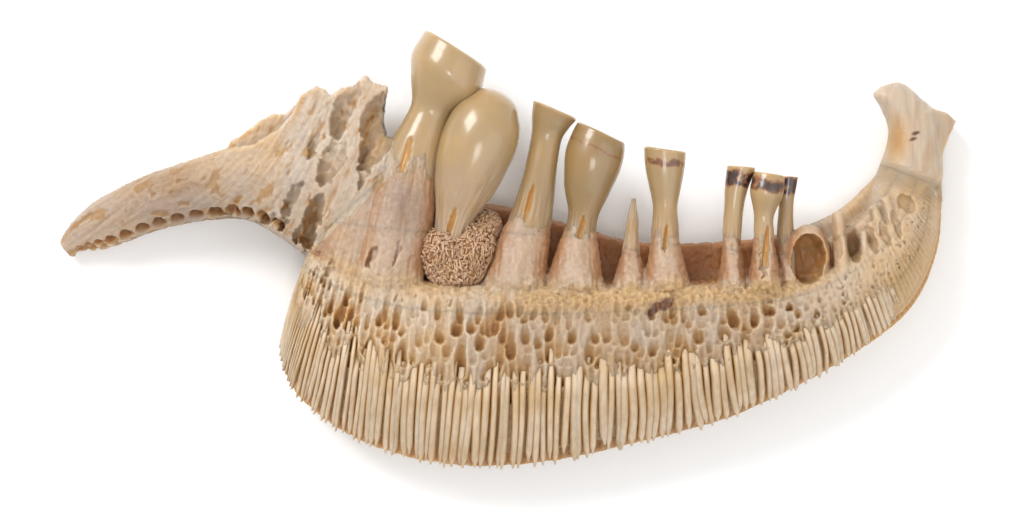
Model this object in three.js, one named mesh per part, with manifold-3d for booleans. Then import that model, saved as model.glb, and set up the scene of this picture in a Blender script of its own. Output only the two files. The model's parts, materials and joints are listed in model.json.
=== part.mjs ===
// Lower pharyngeal bone of a large river sucker, with its molar-like throat teeth, in millimetres.
// The bone lies on its back. +X runs from the ventral limb to the dorsal limb, +Y runs the way the
// teeth point, and +Z is up, towards the pitted face. The origin is below the middle of the bone.

import * as THREE from "three";
import { mergeVertices } from "three/addons/utils/BufferGeometryUtils.js";
import Module from "manifold-3d";

const wasm = await Module();
wasm.setup();

// Driving dimensions
const PARTING_GAP = 0.3;
const RIB_COUNT = 66;
const RIB_UNEVENNESS = 0.3;
const BODY_STEPS = 24;
const BODY_STATIONS = Array.from({ length: BODY_STEPS + 1 }, (_, i) => i / BODY_STEPS);
const RIB_DEPTH = 0.32;
const COMB_DEPTH = 0.45;
const ARCH_LENGTH = 60;
const END_TAPER = 0.25;
const RIBS_FADE = [0.87, 0.14];
const PIT_SEED = 7;
const PIT_ROWS = [0.22, 0.32, 0.42, 0.52];
const PIT_STEP = 0.062;
const PIT_HALF = [0.34, 0.85, 0.8];
const CELL_ROWS = [8, 42];
const CELL_COUNT = 14;
const CELL_HALF = [0.42, 0.5, 0.42];
const FLOOR_DEPTH = 4;
const TALL = 16;

// Colours of dry bone and of worn tooth dentine
const BONE_COLOUR = 0xcbb79c;
const TOOTH_COLOUR = 0xcdb48c;

// The arch's body at stations from the heel to the dorsal end: the ridge that bears the teeth,
// the outer margin, and the top of the ledge behind the teeth.
const RIDGE = [
  [-13.4, 0.0],
  [-11.9, -0.8],
  [-9.6, -1.6],
  [-5.9, -2.3],
  [-1.3, -2.5],
  [3.7, -2.6],
  [8.7, -2.6],
  [13.7, -2.5],
  [18.4, -2.3],
  [22.1, -1.0],
  [24.7, 1.0],
  [26.1, 3.0],
  [26.9, 4.9],
];
const MARGIN = [
  [-15.4, -6.6],
  [-14.5, -9.4],
  [-11.4, -12.1],
  [-7.1, -13.9],
  [-2.1, -14.6],
  [3.3, -14.2],
  [9.0, -12.9],
  [14.6, -11.4],
  [19.8, -9.0],
  [23.9, -6.5],
  [27.2, -3.6],
  [28.8, 0.0],
  [29.2, 3.5],
];
const LEDGE = [
  [-12.7, 0.8],
  [-10.9, 1.0],
  [-8.3, 1.9],
  [-4.6, 3.0],
  [-0.6, 3.0],
  [4.1, 1.7],
  [8.7, 0.5],
  [13.7, 0.5],
  [18.4, 1.1],
  [21.9, 2.5],
  [23.9, 4.2],
  [25.0, 5.5],
  [25.5, 6.9],
];

// The section of the body: a share of the way from the ridge (0) to the margin (1), or to the
// ledge's top (-1), and a height above the floor at the thickest station.
const FRONT = [
  [-1.0, 3.5],
  [-0.85, 4.2],
  [-0.45, 4.2],
  [-0.1, 4.7],
  [-0.01, 8.3],
  [0.05, 9.1],
  [0.18, 9.6],
  [0.34, 9.8],
  [0.48, 9.6],
  [0.6, 9.1],
  [0.74, 8.0],
  [0.88, 6.3],
  [0.97, 5.2],
  [1.0, 4.5],
];
const BACK = [
  [0.93, 3.9],
  [0.985, 3.0],
  [0.97, 2.4],
  [0.82, 1.5],
  [0.58, 0.3],
  [0.4, -0.15],
  [0.15, 0.5],
  [-0.3, 1.3],
  [-0.9, 2.0],
];
const FILLED_TROUGH = 7.2;
const RIBS_START = 0.6;
const TEETH_START = 0.14;

// Teeth, each from its root up: the place of the axis on the bone's plane, the half-width and the
// lean of the section in degrees; then the height of the axis and the rise of the chewing face.
const TEETH = [
  {
    z: 6.9,
    face: 0.07,
    stations: [
      [-8.4, -3.4, 2.3, -8],
      [-7.9, -0.6, 2.1, -10],
      [-7.0, 3.3, 2.2, -14],
      [-6.2, 6.6, 1.78, -17],
      [-5.6, 8.1, 1.5, -19],
      [-5.05, 9.4, 1.47, -21],
      [-4.4, 10.7, 2.3, -25],
      [-4.15, 11.7, 2.66, -29],
      [-3.75, 12.7, 2.55, -32],
      [-3.55, 13.2, 2.46, -33],
    ],
  },
  {
    z: 7.4,
    face: 0.5,
    stations: [
      [-4.2, -0.6, 1.2, -12],
      [-3.9, 0.9, 1.1, -12],
      [-3.6, 2.3, 1.35, -14],
      [-3.2, 3.7, 1.85, -16],
      [-2.6, 5.5, 2.35, -19],
      [-1.9, 7.3, 2.55, -22],
      [-1.3, 8.8, 2.3, -26],
      [-0.85, 9.8, 1.65, -28],
    ],
  },
  {
    z: 7.0,
    face: 0.07,
    stations: [
      [0.2, -3.4, 1.9, -8],
      [0.6, -1.4, 1.7, -10],
      [1.15, 0.9, 1.55, -12],
      [1.6, 2.4, 1.3, -13],
      [1.95, 4.2, 1.12, -14],
      [2.25, 5.8, 1.05, -16],
      [2.5, 7.5, 1.03, -18],
      [2.75, 8.5, 1.3, -22],
      [3.05, 9.2, 1.53, -24],
    ],
  },
  {
    z: 7.1,
    face: 0.07,
    stations: [
      [4.4, -3.5, 1.9, -6],
      [4.5, -1.3, 1.5, -8],
      [4.75, 0.9, 1.15, -10],
      [4.95, 2.3, 0.98, -12],
      [5.2, 4.0, 1.55, -14],
      [5.55, 5.7, 1.9, -17],
      [5.95, 7.0, 1.85, -21],
      [6.15, 7.65, 1.72, -24],
    ],
  },
  {
    z: 6.6,
    face: 0.07,
    stations: [
      [8.1, -3.2, 1.2, 0],
      [8.1, -1.6, 0.9, 0],
      [8.15, -0.2, 0.6, 0],
      [8.2, 0.9, 0.42, 0],
      [8.25, 2.0, 0.36, 0],
      [8.3, 2.9, 0.2, 0],
      [8.32, 3.35, 0.12, 0],
    ],
  },
  {
    z: 7.0,
    face: 0.07,
    stations: [
      [10.5, -3.4, 1.5, -4],
      [10.5, -1.3, 1.2, -4],
      [10.4, 0.9, 0.93, -5],
      [10.4, 2.6, 0.82, -5],
      [10.4, 4.1, 1.08, -6],
      [10.4, 5.6, 1.3, -7],
      [10.43, 6.55, 1.38, -7],
    ],
  },
  {
    z: 6.9,
    face: 0.07,
    stations: [
      [15.0, -3.4, 1.0, -4],
      [14.9, -1.3, 0.72, -4],
      [14.85, 0.8, 0.6, -4],
      [14.95, 2.4, 0.62, -5],
      [15.15, 4.0, 0.8, -6],
      [15.35, 5.0, 0.92, -7],
      [15.43, 5.45, 0.95, -7],
    ],
  },
  {
    z: 7.5,
    face: 0.07,
    stations: [
      [17.0, -3.3, 1.1, -4],
      [17.0, -1.2, 0.85, -4],
      [16.95, 0.9, 0.66, -4],
      [16.95, 2.2, 0.64, -5],
      [17.1, 3.6, 1.12, -7],
      [17.25, 4.5, 1.1, -8],
      [17.32, 4.95, 1.02, -9],
    ],
  },
  {
    z: 6.1,
    face: 0.07,
    stations: [
      [18.85, -3.0, 0.85, 0],
      [18.6, -1.0, 0.66, 0],
      [18.45, 1.2, 0.52, 0],
      [18.5, 3.0, 0.5, -2],
      [18.62, 4.2, 0.58, -3],
      [18.7, 4.8, 0.6, -3],
    ],
  },
];
const ROOT_HALF_DEPTH = 2.1;

// Broken bases of the small upper teeth, as thin plates on the ridge: base, tip and half-width.
const LAMELLAE = [
  { base: [22.2, -1.6], tip: [21.9, 2.5], half: 0.5, z: 6.6, depth: 1.1 },
  { base: [23.8, -1.2], tip: [23.6, 1.2], half: 0.32, z: 6.4, depth: 1.0 },
  { base: [24.6, -0.8], tip: [24.1, 1.8], half: 0.36, z: 6.0, depth: 1.0 },
  { base: [25.3, -0.2], tip: [24.3, 2.9], half: 0.42, z: 5.7, depth: 1.1 },
  { base: [26.0, 0.6], tip: [25.1, 3.5], half: 0.5, z: 5.4, depth: 1.1 },
  { base: [27.0, 2.2], tip: [26.3, 4.5], half: 0.5, z: 5.1, depth: 0.9 },
];

// The limbs and the web between the crest and the first tooth: stations of the centre line, the
// half-width, the heights of the lowest and highest surface, and the way the width points, in
// degrees from X. A limb without that way is as wide square to its own line.
const VENTRAL_LIMB = [
  { at: [-29.95, 0], half: 0.62, low: 0.3, high: 1.5 },
  { at: [-28.9, 0.75], half: 1.15, low: -0.15, high: 2.5 },
  { at: [-27, 1.8], half: 1.65, low: -0.15, high: 3.6 },
  { at: [-24, 3.1], half: 1.85, low: 0.2, high: 4.8 },
  { at: [-20.6, 4], half: 2.1, low: 0.6, high: 5.8 },
  { at: [-17.3, 4.5], half: 2.6, low: 0.7, high: 6.6 },
  { at: [-13.9, 4], half: 3.6, low: 0.6, high: 7.4 },
  { at: [-10.6, 2.6], half: 4.2, low: 0.5, high: 8.2 },
  { at: [-7.6, 0.7], half: 3.8, low: 0.6, high: 8.6 },
];
const DORSAL_LIMB = [
  { at: [24.6, 0.6], half: 2.4, low: 0.6, high: 5.6, lean: 50 },
  { at: [26.2, 2.4], half: 3, low: 0.2, high: 5.4, lean: 40 },
  { at: [26.7, 4.2], half: 2.6, low: -0.15, high: 5.4, lean: 15 },
  { at: [27.15, 6.4], half: 1.9, low: -0.15, high: 5.15, lean: 0 },
  { at: [27.2, 8.1], half: 1.65, low: 0.3, high: 4.7, lean: 0 },
  { at: [26.7, 9.5], half: 1.68, low: 0.9, high: 4.5, lean: 0 },
  { at: [26.05, 10.3], half: 1.55, low: 1.4, high: 4.3, lean: -3 },
  { at: [25.75, 10.8], half: 1.05, low: 1.8, high: 4, lean: 8 },
  { at: [25.6, 11.1], half: 0.55, low: 2.2, high: 3.6, lean: 15 },
];
const WEB = [
  { at: [-9.8, -3.6], half: 2.6, low: 3, high: 8, lean: 0 },
  { at: [-10.1, -1], half: 2.6, low: 3, high: 8.3, lean: -6 },
  { at: [-9.8, 2.4], half: 2.8, low: 3, high: 8.3, lean: -12 },
  { at: [-8.6, 5.2], half: 1.7, low: 3, high: 8.1, lean: -16 },
  { at: [-7.8, 7.4], half: 0.9, low: 3.4, high: 7.6, lean: -18 },
];

// Flat plates of bone: an outline, the lowest and highest surface, and how much the top rises for
// each step in X. The crest stands above the ventral limb's root, with the flange behind it.
const CREST = {
  low: 3.2,
  high: 6.6,
  rise: 0.13,
  outline: [
    [-19.2, 4.6],
    [-18.7, 6.6],
    [-16.9, 7],
    [-15.3, 8],
    [-14.3, 9.2],
    [-13.9, 10.2],
    [-12.8, 10.85],
    [-12.3, 10.6],
    [-11.9, 10.15],
    [-11.1, 10.75],
    [-10.3, 10.85],
    [-9.5, 11.6],
    [-9.15, 11.1],
    [-8.1, 10.8],
    [-8.35, 9.5],
    [-8.4, 8.4],
    [-8.05, 6.8],
    [-7.5, 5.4],
    [-8, 1],
    [-13.2, -0.2],
    [-14.6, 2.6],
    [-17.3, 3.4],
  ],
};
const FLANGE = {
  low: 2.4,
  high: 4.6,
  rise: 0,
  outline: [
    [-19.4, 5.6],
    [-18.75, 6.8],
    [-18.6, 7.2],
    [-17.9, 7.55],
    [-16.6, 8.6],
    [-15.7, 9],
    [-14.9, 9],
    [-14, 9.9],
    [-12.9, 9.9],
    [-13, 5],
    [-17, 4.2],
  ],
};
const SPUR = {
  low: 0.9,
  high: 3.7,
  rise: -0.8,
  outline: [
    [28.2, 9.3],
    [28.95, 9.15],
    [29.45, 9.0],
    [29.87, 8.6],
    [29.4, 7.5],
    [29.05, 6.4],
    [28.95, 4.6],
    [29.05, 3.2],
    [28.4, 2.6],
    [27.4, 4],
    [27.4, 8.6],
  ],
};
const PLATE_BEVEL = 0.3;

// Empty sockets and the hollows of lost teeth, as stretched balls
const HOLLOWS = [
  { at: [-8.7, 7.9, 7.3], half: [0.95, 2.1, 2.3], turn: -6 },
  { at: [-11.2, 8.8, 6.9], half: [0.5, 1.6, 1.8], turn: -15 },
  { at: [-12.0, 5.5, 7.2], half: [0.5, 1.4, 1.6], turn: -16 },
  { at: [-13.0, 6.9, 6.9], half: [0.35, 0.8, 1.2], turn: -18 },
  { at: [-13.05, 1.8, 7.3], half: [0.5, 1.7, 2.3], turn: -17 },
  { at: [-14.4, 3.3, 6.9], half: [0.35, 1.1, 1.3], turn: -30 },
  { at: [19.9, -0.6, 8.4], half: [1.15, 1.7, 2.9], turn: 0 },
  { at: [22.95, 0.3, 6.9], half: [0.45, 1.2, 1.6], turn: 8 },
  { at: [26.5, 3.05, 5.4], half: [0.5, 0.75, 0.9], turn: 45 },
];

// The spongy bone round the roots of the second tooth, as balls
const SPONGY_ROOTS = [
  { at: [-4.5, -0.2, 6.9], half: [1.65, 1.8, 2.2], turn: 0 },
  { at: [-2.4, 0.0, 6.8], half: [1.6, 1.9, 2.2], turn: 0 },
  { at: [-1.6, 1.5, 6.0], half: [1.1, 1.1, 1.6], turn: 0 },
  { at: [-3.5, -1.2, 7.1], half: [1.8, 1.0, 2.0], turn: 0 },
];

const clamp01 = (x) => Math.min(1, Math.max(0, x));
const smooth = (x) => clamp01(x) ** 2 * (3 - 2 * clamp01(x));
const lerp = THREE.MathUtils.lerp;

function seededRandom(seed) {
  let state = seed;
  return () => {
    state = (state + 0x6d2b79f5) | 0;
    let t = Math.imul(state ^ (state >>> 15), 1 | state);
    t = (t + Math.imul(t ^ (t >>> 7), 61 | t)) ^ t;
    return ((t ^ (t >>> 14)) >>> 0) / 4294967296;
  };
}

function splineOf(points) {
  const places = points.map(([x, y, z]) => new THREE.Vector3(x, y, z ?? 0));
  const curve = new THREE.CatmullRomCurve3(places, false, "catmullrom", 0.5);
  return (share) => curve.getPoint(clamp01(share));
}

// A closed tube: ringAt(level, levels) gives the ring's points from the foot to the top. The
// cylinder's own vertices are moved there, so its faces and caps stay closed.
function tube(pointCount, levels, ringAt, domes = [0, 0]) {
  const geometry = new THREE.CylinderGeometry(1, 1, 1, pointCount, levels);
  const position = geometry.getAttribute("position");
  const rings = Array.from({ length: levels + 1 }, (_, level) => ringAt(level / levels));
  const centres = rings.map((ring) =>
    ring.reduce((sum, p) => sum.add(p), new THREE.Vector3()).divideScalar(ring.length),
  );
  const axis = (a, b) => centres[b].clone().sub(centres[a]).normalize();
  const capCentre = [
    centres[0].clone().addScaledVector(axis(1, 0), domes[0]),
    centres[levels].clone().addScaledVector(axis(levels - 1, levels), domes[1]),
  ];
  for (let i = 0; i < position.count; i++) {
    const v = new THREE.Vector3().fromBufferAttribute(position, i);
    const level = Math.round((v.y + 0.5) * levels);
    const turn = Math.atan2(v.x, v.z) / (2 * Math.PI);
    const spot = (Math.round(turn * pointCount) + pointCount) % pointCount;
    const onAxis = Math.hypot(v.x, v.z) < 0.5;
    const p = onAxis ? capCentre[level === 0 ? 0 : 1] : rings[level][spot];
    position.setXYZ(i, p.x, p.y, p.z);
  }
  return geometry;
}

// Turns a closed three.js geometry into a solid, facing out.
function solid(geometry) {
  geometry.deleteAttribute("normal");
  geometry.deleteAttribute("uv");
  const merged = mergeVertices(geometry, 1e-4);
  const triVerts = new Uint32Array(merged.index.array);
  const vertProperties = new Float32Array(merged.attributes.position.array);
  const make = () => new wasm.Manifold(new wasm.Mesh({ numProp: 3, vertProperties, triVerts }));
  const made = make();
  if (made.volume() > 0) return made;
  for (let i = 0; i < triVerts.length; i += 3) {
    [triVerts[i + 1], triVerts[i + 2]] = [triVerts[i + 2], triVerts[i + 1]];
  }
  return make();
}

function geometryOf(manifold) {
  const mesh = manifold.getMesh();
  const geometry = new THREE.BufferGeometry();
  geometry.setAttribute("position", new THREE.BufferAttribute(new Float32Array(mesh.vertProperties), 3));
  geometry.setIndex(new THREE.BufferAttribute(new Uint32Array(mesh.triVerts), 1));
  geometry.computeVertexNormals();
  return geometry;
}

const unite = (solids) => solids.reduce((all, one) => all.add(one));

// The arch's body
const ridgeLine = splineOf(RIDGE);
const marginLine = splineOf(MARGIN);
const ledgeLine = splineOf(LEDGE);
const BODY_PROFILE = [...FRONT, ...BACK];
const WING_PROFILE = BODY_PROFILE.filter(([share]) => share >= RIBS_START - 0.05);
// The body is thickest at 0.4 of its length and thins towards both ends.
const bodyScale = (t) => 1 - 0.27 * ((t - 0.4) / 0.5) ** 2 - 0.08 * smooth((t - 0.86) / 0.14);
const troughOpen = (t) => smooth((t - 0.12) / 0.12) * smooth((0.69 - t) / 0.06);

function bodyPoint(t, share, height) {
  const ridge = ridgeLine(t);
  const target = share < 0 ? ledgeLine(t) : marginLine(t);
  const p = ridge.lerp(target, Math.abs(share));
  p.z = Math.max(height * bodyScale(t), Math.min(height, -0.15));
  return p;
}

function frontHeight(share) {
  const i = Math.max(1, FRONT.findIndex(([s]) => s >= share));
  const [s0, z0] = FRONT[i - 1];
  const [s1, z1] = FRONT[i];
  return lerp(z0, z1, (share - s0) / (s1 - s0));
}

function bodyRing(profile, t, valley, shrink) {
  const ring = profile.map(([share, height], i) => {
    const onFront = i === 0 || share > profile[i - 1][0];
    const inTrough = onFront && share < 0 && share > -0.5;
    const raised = inTrough ? lerp(Math.max(height, FILLED_TROUGH), height, troughOpen(t)) : height;
    const ribbed = onFront && share > RIBS_START ? valley : 0;
    const notch = share < 0.97 ? 0 : (valley * COMB_DEPTH) / marginLine(t).distanceTo(ridgeLine(t));
    return bodyPoint(t, share - notch, raised - ribbed * RIB_DEPTH);
  });
  const middle = bodyPoint(t, profile === WING_PROFILE ? 0.8 : 0.45, 4.5);
  return ring.map((p) => p.lerp(middle, shrink));
}

// Where the ribs' crests (even places) and the grooves between them (odd places) lie on the arch
function ribStations() {
  const widths = Array.from({ length: RIB_COUNT }, (_, i) => 1 + RIB_UNEVENNESS * Math.sin(2.4 * i));
  const whole = widths.reduce((sum, width) => sum + width);
  const stations = [0];
  for (const width of widths) stations.push(stations.at(-1) + width / 2, stations.at(-1) + width);
  return stations.map((place) => place / whole);
}

// A loft of a profile along the arch, drawn in at both ends; even stations are grooves of a wing.
function archLoft(profile, stations, ribbed) {
  const levels = stations.length + 1;
  return solid(
    tube(profile.length, levels, (v) => {
      const level = Math.round(v * levels);
      const atEnd = level === 0 || level === levels;
      const i = THREE.MathUtils.clamp(level - 1, 0, stations.length - 1);
      const groove = ribbed && i % 2 === 0 ? smooth((RIBS_FADE[0] - stations[i]) / RIBS_FADE[1]) : 0;
      return bodyRing(profile, stations[i], groove, atEnd ? END_TAPER : 0);
    }),
  );
}

// Limbs: a rounded section
const LIMB_POINTS = 14;
const LIMB_ROUNDNESS = 0.8;
const rounded = (value) => Math.sign(value) * Math.abs(value) ** LIMB_ROUNDNESS;

// A limb's points: a share along its line, and degrees round its section
function limbShape(stations) {
  const line = splineOf(stations.map((s) => s.at));
  const sizes = splineOf(stations.map((s) => [s.half, s.low, s.high]));
  const lean = splineOf(stations.map((s) => [s.lean ?? 0, 0]));
  const hasLean = stations[0].lean !== undefined;
  const pointAt = (t, degrees) => {
    const ahead = line(t + 0.01).sub(line(t - 0.01)).normalize();
    const way = THREE.MathUtils.degToRad(lean(t).x);
    const turn = THREE.MathUtils.degToRad(degrees);
    const { x: half, y: low, z: high } = sizes(t);
    const across = hasLean
      ? new THREE.Vector3(Math.cos(way), Math.sin(way), 0)
      : new THREE.Vector3(-ahead.y, ahead.x, 0);
    const p = line(t).addScaledVector(across, half * rounded(Math.cos(turn)));
    p.z = (low + high) / 2 + ((high - low) / 2) * rounded(Math.sin(turn));
    return p;
  };
  return { pointAt };
}

function limb(stations, levels) {
  const { pointAt } = limbShape(stations);
  const ringAt = (t) => Array.from({ length: LIMB_POINTS }, (_, i) => pointAt(t, (360 * i) / LIMB_POINTS));
  return solid(tube(LIMB_POINTS, levels, ringAt));
}

function plate({ low, high, rise, outline }) {
  const shape = new THREE.Shape(outline.map(([x, y]) => new THREE.Vector2(x, y)));
  const geometry = new THREE.ExtrudeGeometry(shape, {
    depth: high - low - 2 * PLATE_BEVEL,
    bevelThickness: PLATE_BEVEL,
    bevelSize: PLATE_BEVEL,
    bevelOffset: -PLATE_BEVEL,
    bevelSegments: 1,
  });
  geometry.translate(0, 0, low + PLATE_BEVEL);
  const position = geometry.getAttribute("position");
  const middle = outline.reduce((sum, [x]) => sum + x, 0) / outline.length;
  for (let i = 0; i < position.count; i++) {
    const onTop = position.getZ(i) > (low + high) / 2;
    if (onTop) position.setZ(i, position.getZ(i) + rise * (position.getX(i) - middle));
  }
  return solid(geometry);
}

// Teeth: deep at the root, round at the neck
const TOOTH_POINTS = 10;
const TOOTH_STEPS = 10;
const TOOTH_DEPTH = 0.95;

function tooth({ z, face, stations }) {
  const line = splineOf(stations.map(([x, y]) => [x, y, z]));
  const sizes = splineOf(stations.map(([, , half, lean]) => [half, lean]));
  const faceHalf = stations.at(-1)[2];
  return solid(
    tube(
      TOOTH_POINTS,
      TOOTH_STEPS,
      (h) => {
        const { x: half, y: lean } = sizes(h);
        const way = THREE.MathUtils.degToRad(lean);
        const root = ROOT_HALF_DEPTH * smooth((h + 0.08) / 0.18) * (1 - smooth(h / 0.5));
        const depth = Math.max(half * TOOTH_DEPTH, root);
        return Array.from({ length: TOOTH_POINTS }, (_, i) => {
          const turn = (2 * Math.PI * i) / TOOTH_POINTS;
          const side = new THREE.Vector3(Math.cos(way), Math.sin(way), 0).multiplyScalar(half * Math.cos(turn));
          return line(h).add(side).add(new THREE.Vector3(0, 0, depth * Math.sin(turn)));
        });
      },
      [0, face * faceHalf],
    ),
  );
}

function lamella({ base, tip, half, z, depth }) {
  const from = new THREE.Vector3(...base, z);
  const to = new THREE.Vector3(...tip, z);
  const ahead = to.clone().sub(from).normalize();
  const across = new THREE.Vector3(ahead.y, -ahead.x, 0);
  return solid(
    tube(8, 4, (h) =>
      Array.from({ length: 8 }, (_, i) => {
        const angle = (2 * Math.PI * i) / 8;
        const p = from.clone().lerp(to, h);
        p.addScaledVector(across, half * lerp(1.3, 0.8, h) * Math.cos(angle));
        p.z += depth * lerp(1.5, 0.8, h) * Math.sin(angle);
        return p;
      }),
    ),
  );
}

// Hollows and pits are stretched balls, cut from the bone.
function ball({ at, half, turn, lean = 0 }, detail = [10, 7]) {
  const geometry = new THREE.SphereGeometry(1, ...detail);
  geometry.scale(...half);
  geometry.rotateX(THREE.MathUtils.degToRad(lean));
  geometry.rotateZ(THREE.MathUtils.degToRad(turn));
  geometry.translate(...at);
  return solid(geometry);
}

// Where the bone is parted: the limbs from the arch, and a point in the arch's body.
const VENTRAL_CUT = [
  [-15.9, -2.3],
  [-8.2, 4.9],
  [-7.8, 8.8],
];
const DORSAL_CUT = [
  [23.6, 6.2],
  [31.0, 3.4],
];
const ARCH_PROBE = [3.5, -6.5, 4];

function pits() {
  const random = seededRandom(PIT_SEED);
  const made = [];
  PIT_ROWS.forEach((row, r) => {
    for (let t = 0.1 + 0.02 * (r % 2); t < 0.86; t += PIT_STEP) {
      const where = t + 0.25 * PIT_STEP * (random() - 0.5);
      const share = row + 0.04 * (random() - 0.5);
      const spot = bodyPoint(where, share, frontHeight(share));
      const down = marginLine(where).sub(ridgeLine(where));
      const size = lerp(1.1, 0.65, where) * lerp(0.85, 1.15, random());
      made.push(
        ball(
          {
            at: [spot.x, spot.y, spot.z],
            half: PIT_HALF.map((half) => half * size),
            turn: THREE.MathUtils.radToDeg(Math.atan2(down.y, down.x)) + 90,
          },
          [8, 5],
        ),
      );
    }
  });
  return made;
}

// Cells of the honeycomb in the ventral limb's lower flank: rows at angles round its section
function limbCells() {
  const { pointAt } = limbShape(VENTRAL_LIMB);
  return CELL_ROWS.flatMap((angle, row) =>
    Array.from({ length: CELL_COUNT }, (_, i) => {
      const t = lerp(0.07, 0.74, (i + 0.5 * row) / CELL_COUNT);
      const spot = pointAt(t, 180 - angle);
      return ball({ at: [spot.x, spot.y, spot.z], half: CELL_HALF, turn: -20 }, [6, 4]);
    }),
  );
}

// Thin upright cutters that part the bone: a band of the gap's width along a line.
const CUT_OVERRUN = 0.04;
const CUT_STEPS = 24;

function band(placeAt, acrossAt, steps) {
  return solid(
    tube(4, steps, (v) =>
      [-1, 1, 1, -1].map((side, i) => {
        const p = placeAt(v).addScaledVector(acrossAt(v), (side * PARTING_GAP) / 2);
        p.z = i < 2 ? -TALL : TALL;
        return p;
      }),
    ),
  );
}

function cutAcross(points) {
  const corners = points.map(([x, y]) => new THREE.Vector3(x, y, 0));
  return unite(
    corners.slice(1).map((end, i) => {
      const ahead = end.clone().sub(corners[i]).normalize();
      const from = corners[i].clone().addScaledVector(ahead, -PARTING_GAP / 2);
      const to = end.clone().addScaledVector(ahead, PARTING_GAP / 2);
      const across = new THREE.Vector3(-ahead.y, ahead.x, 0);
      return band((v) => from.clone().lerp(to, v), () => across, 1);
    }),
  );
}

function cutAlong(share) {
  const placeAt = (v) => {
    const u = lerp(-CUT_OVERRUN, 1 + CUT_OVERRUN, v);
    const t = clamp01(u);
    const along = ridgeLine(t + 0.01).sub(ridgeLine(t - 0.01)).normalize();
    return ridgeLine(t).lerp(marginLine(t), share).addScaledVector(along, (u - t) * ARCH_LENGTH);
  };
  return band(placeAt, (v) => marginLine(v).sub(ridgeLine(v)).normalize(), CUT_STEPS);
}

// The whole bone, parted into its named pieces
const floorBlock = new THREE.BoxGeometry(90, 60, FLOOR_DEPTH);
floorBlock.translate(0, 0, -FLOOR_DEPTH / 2);

const bone = unite([
  archLoft(BODY_PROFILE, BODY_STATIONS, false),
  limb(VENTRAL_LIMB, 18),
  limb(DORSAL_LIMB, 14),
  limb(WEB, 8),
  plate(CREST),
  plate(FLANGE),
  plate(SPUR),
  ...SPONGY_ROOTS.map((root) => ball(root, [9, 6])),
  ...TEETH.map(tooth),
  ...LAMELLAE.map(lamella),
]);
const hollows = unite([...HOLLOWS.map((h) => ball(h)), ...pits(), ...limbCells(), solid(floorBlock)]);

// Of the pieces that a cut leaves, the one that holds a point
function pieceAt(solids, [x, y, z]) {
  const touch = ball({ at: [x, y, z], half: [0.2, 0.2, 0.2], turn: 0 }, [6, 4]);
  const found = solids.filter((piece) => piece.intersect(touch).volume() > 0.001);
  if (found.length !== 1) throw new Error(`${found.length} pieces hold the point ${x}, ${y}, ${z}`);
  return found[0];
}

const limbsAndArch = bone.subtract(hollows).subtract(cutAcross(VENTRAL_CUT)).subtract(cutAcross(DORSAL_CUT));
const ends = limbsAndArch.decompose();
const arch = pieceAt(ends, ARCH_PROBE);
const lengths = arch.subtract(cutAlong(TEETH_START)).subtract(cutAlong(RIBS_START)).decompose();
const wing = archLoft(WING_PROFILE, ribStations(), true);
const wingPieces = wing.subtract(cutAlong(RIBS_START)).subtract(cutAcross(DORSAL_CUT)).decompose();

const NODES = [
  { name: "tooth_row", from: lengths, probe: [10.5, 0.5, 6.9], colour: TOOTH_COLOUR, roughness: 0.3 },
  { name: "pitted_body", from: lengths, probe: ARCH_PROBE, colour: BONE_COLOUR, roughness: 0.6 },
  { name: "ribbed_wing", from: wingPieces, probe: [3.5, -11.6, 3.4], colour: BONE_COLOUR, roughness: 0.65 },
  { name: "ventral_limb", from: ends, probe: [-22, 3.7, 3], colour: BONE_COLOUR, roughness: 0.6 },
  { name: "dorsal_limb", from: ends, probe: [27.1, 7.2, 3], colour: BONE_COLOUR, roughness: 0.5 },
];

const part = new THREE.Group();
part.name = "pharyngeal_bone";
for (const { name, from, probe, colour, roughness } of NODES) {
  const material = new THREE.MeshStandardMaterial({ color: colour, roughness, metalness: 0 });
  const mesh = new THREE.Mesh(geometryOf(pieceAt(from, probe)), material);
  mesh.name = name;
  part.add(mesh);
}

// The origin lies on the floor, below the middle of the bone.
const extent = new THREE.Box3().setFromObject(part);
const middle = extent.getCenter(new THREE.Vector3());
part.position.set(-middle.x, -middle.y, -extent.min.z);

export default part;
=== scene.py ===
import json

import bmesh
import bpy
import numpy as np
from mathutils import Matrix, Vector

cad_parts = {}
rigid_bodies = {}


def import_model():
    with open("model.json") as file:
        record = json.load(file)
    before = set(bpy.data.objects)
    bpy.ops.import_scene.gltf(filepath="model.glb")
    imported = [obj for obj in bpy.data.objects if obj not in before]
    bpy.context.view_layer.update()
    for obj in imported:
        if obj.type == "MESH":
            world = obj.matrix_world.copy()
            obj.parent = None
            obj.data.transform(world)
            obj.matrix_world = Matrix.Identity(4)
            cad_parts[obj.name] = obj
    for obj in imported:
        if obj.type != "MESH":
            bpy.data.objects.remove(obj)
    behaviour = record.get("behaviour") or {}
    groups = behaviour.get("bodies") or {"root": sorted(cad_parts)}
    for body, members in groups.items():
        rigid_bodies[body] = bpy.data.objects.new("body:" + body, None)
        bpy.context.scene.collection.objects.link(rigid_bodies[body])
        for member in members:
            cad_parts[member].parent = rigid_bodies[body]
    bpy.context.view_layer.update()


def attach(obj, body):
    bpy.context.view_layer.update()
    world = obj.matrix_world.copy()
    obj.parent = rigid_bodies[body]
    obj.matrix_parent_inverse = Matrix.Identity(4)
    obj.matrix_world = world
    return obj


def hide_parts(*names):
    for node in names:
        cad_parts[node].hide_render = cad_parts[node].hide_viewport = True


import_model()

bl_info = {
    "name": "Pharyngeal bone",
    "version": (1, 0, 0),
    "blender": (4, 5, 0),
    "location": "3D View > Sidebar > Bone",
    "description": "Dresses a fish's pharyngeal bone: pitted body, ribbed wing, limbs and worn teeth",
    "category": "Object",
}

MM = 0.001

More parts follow.
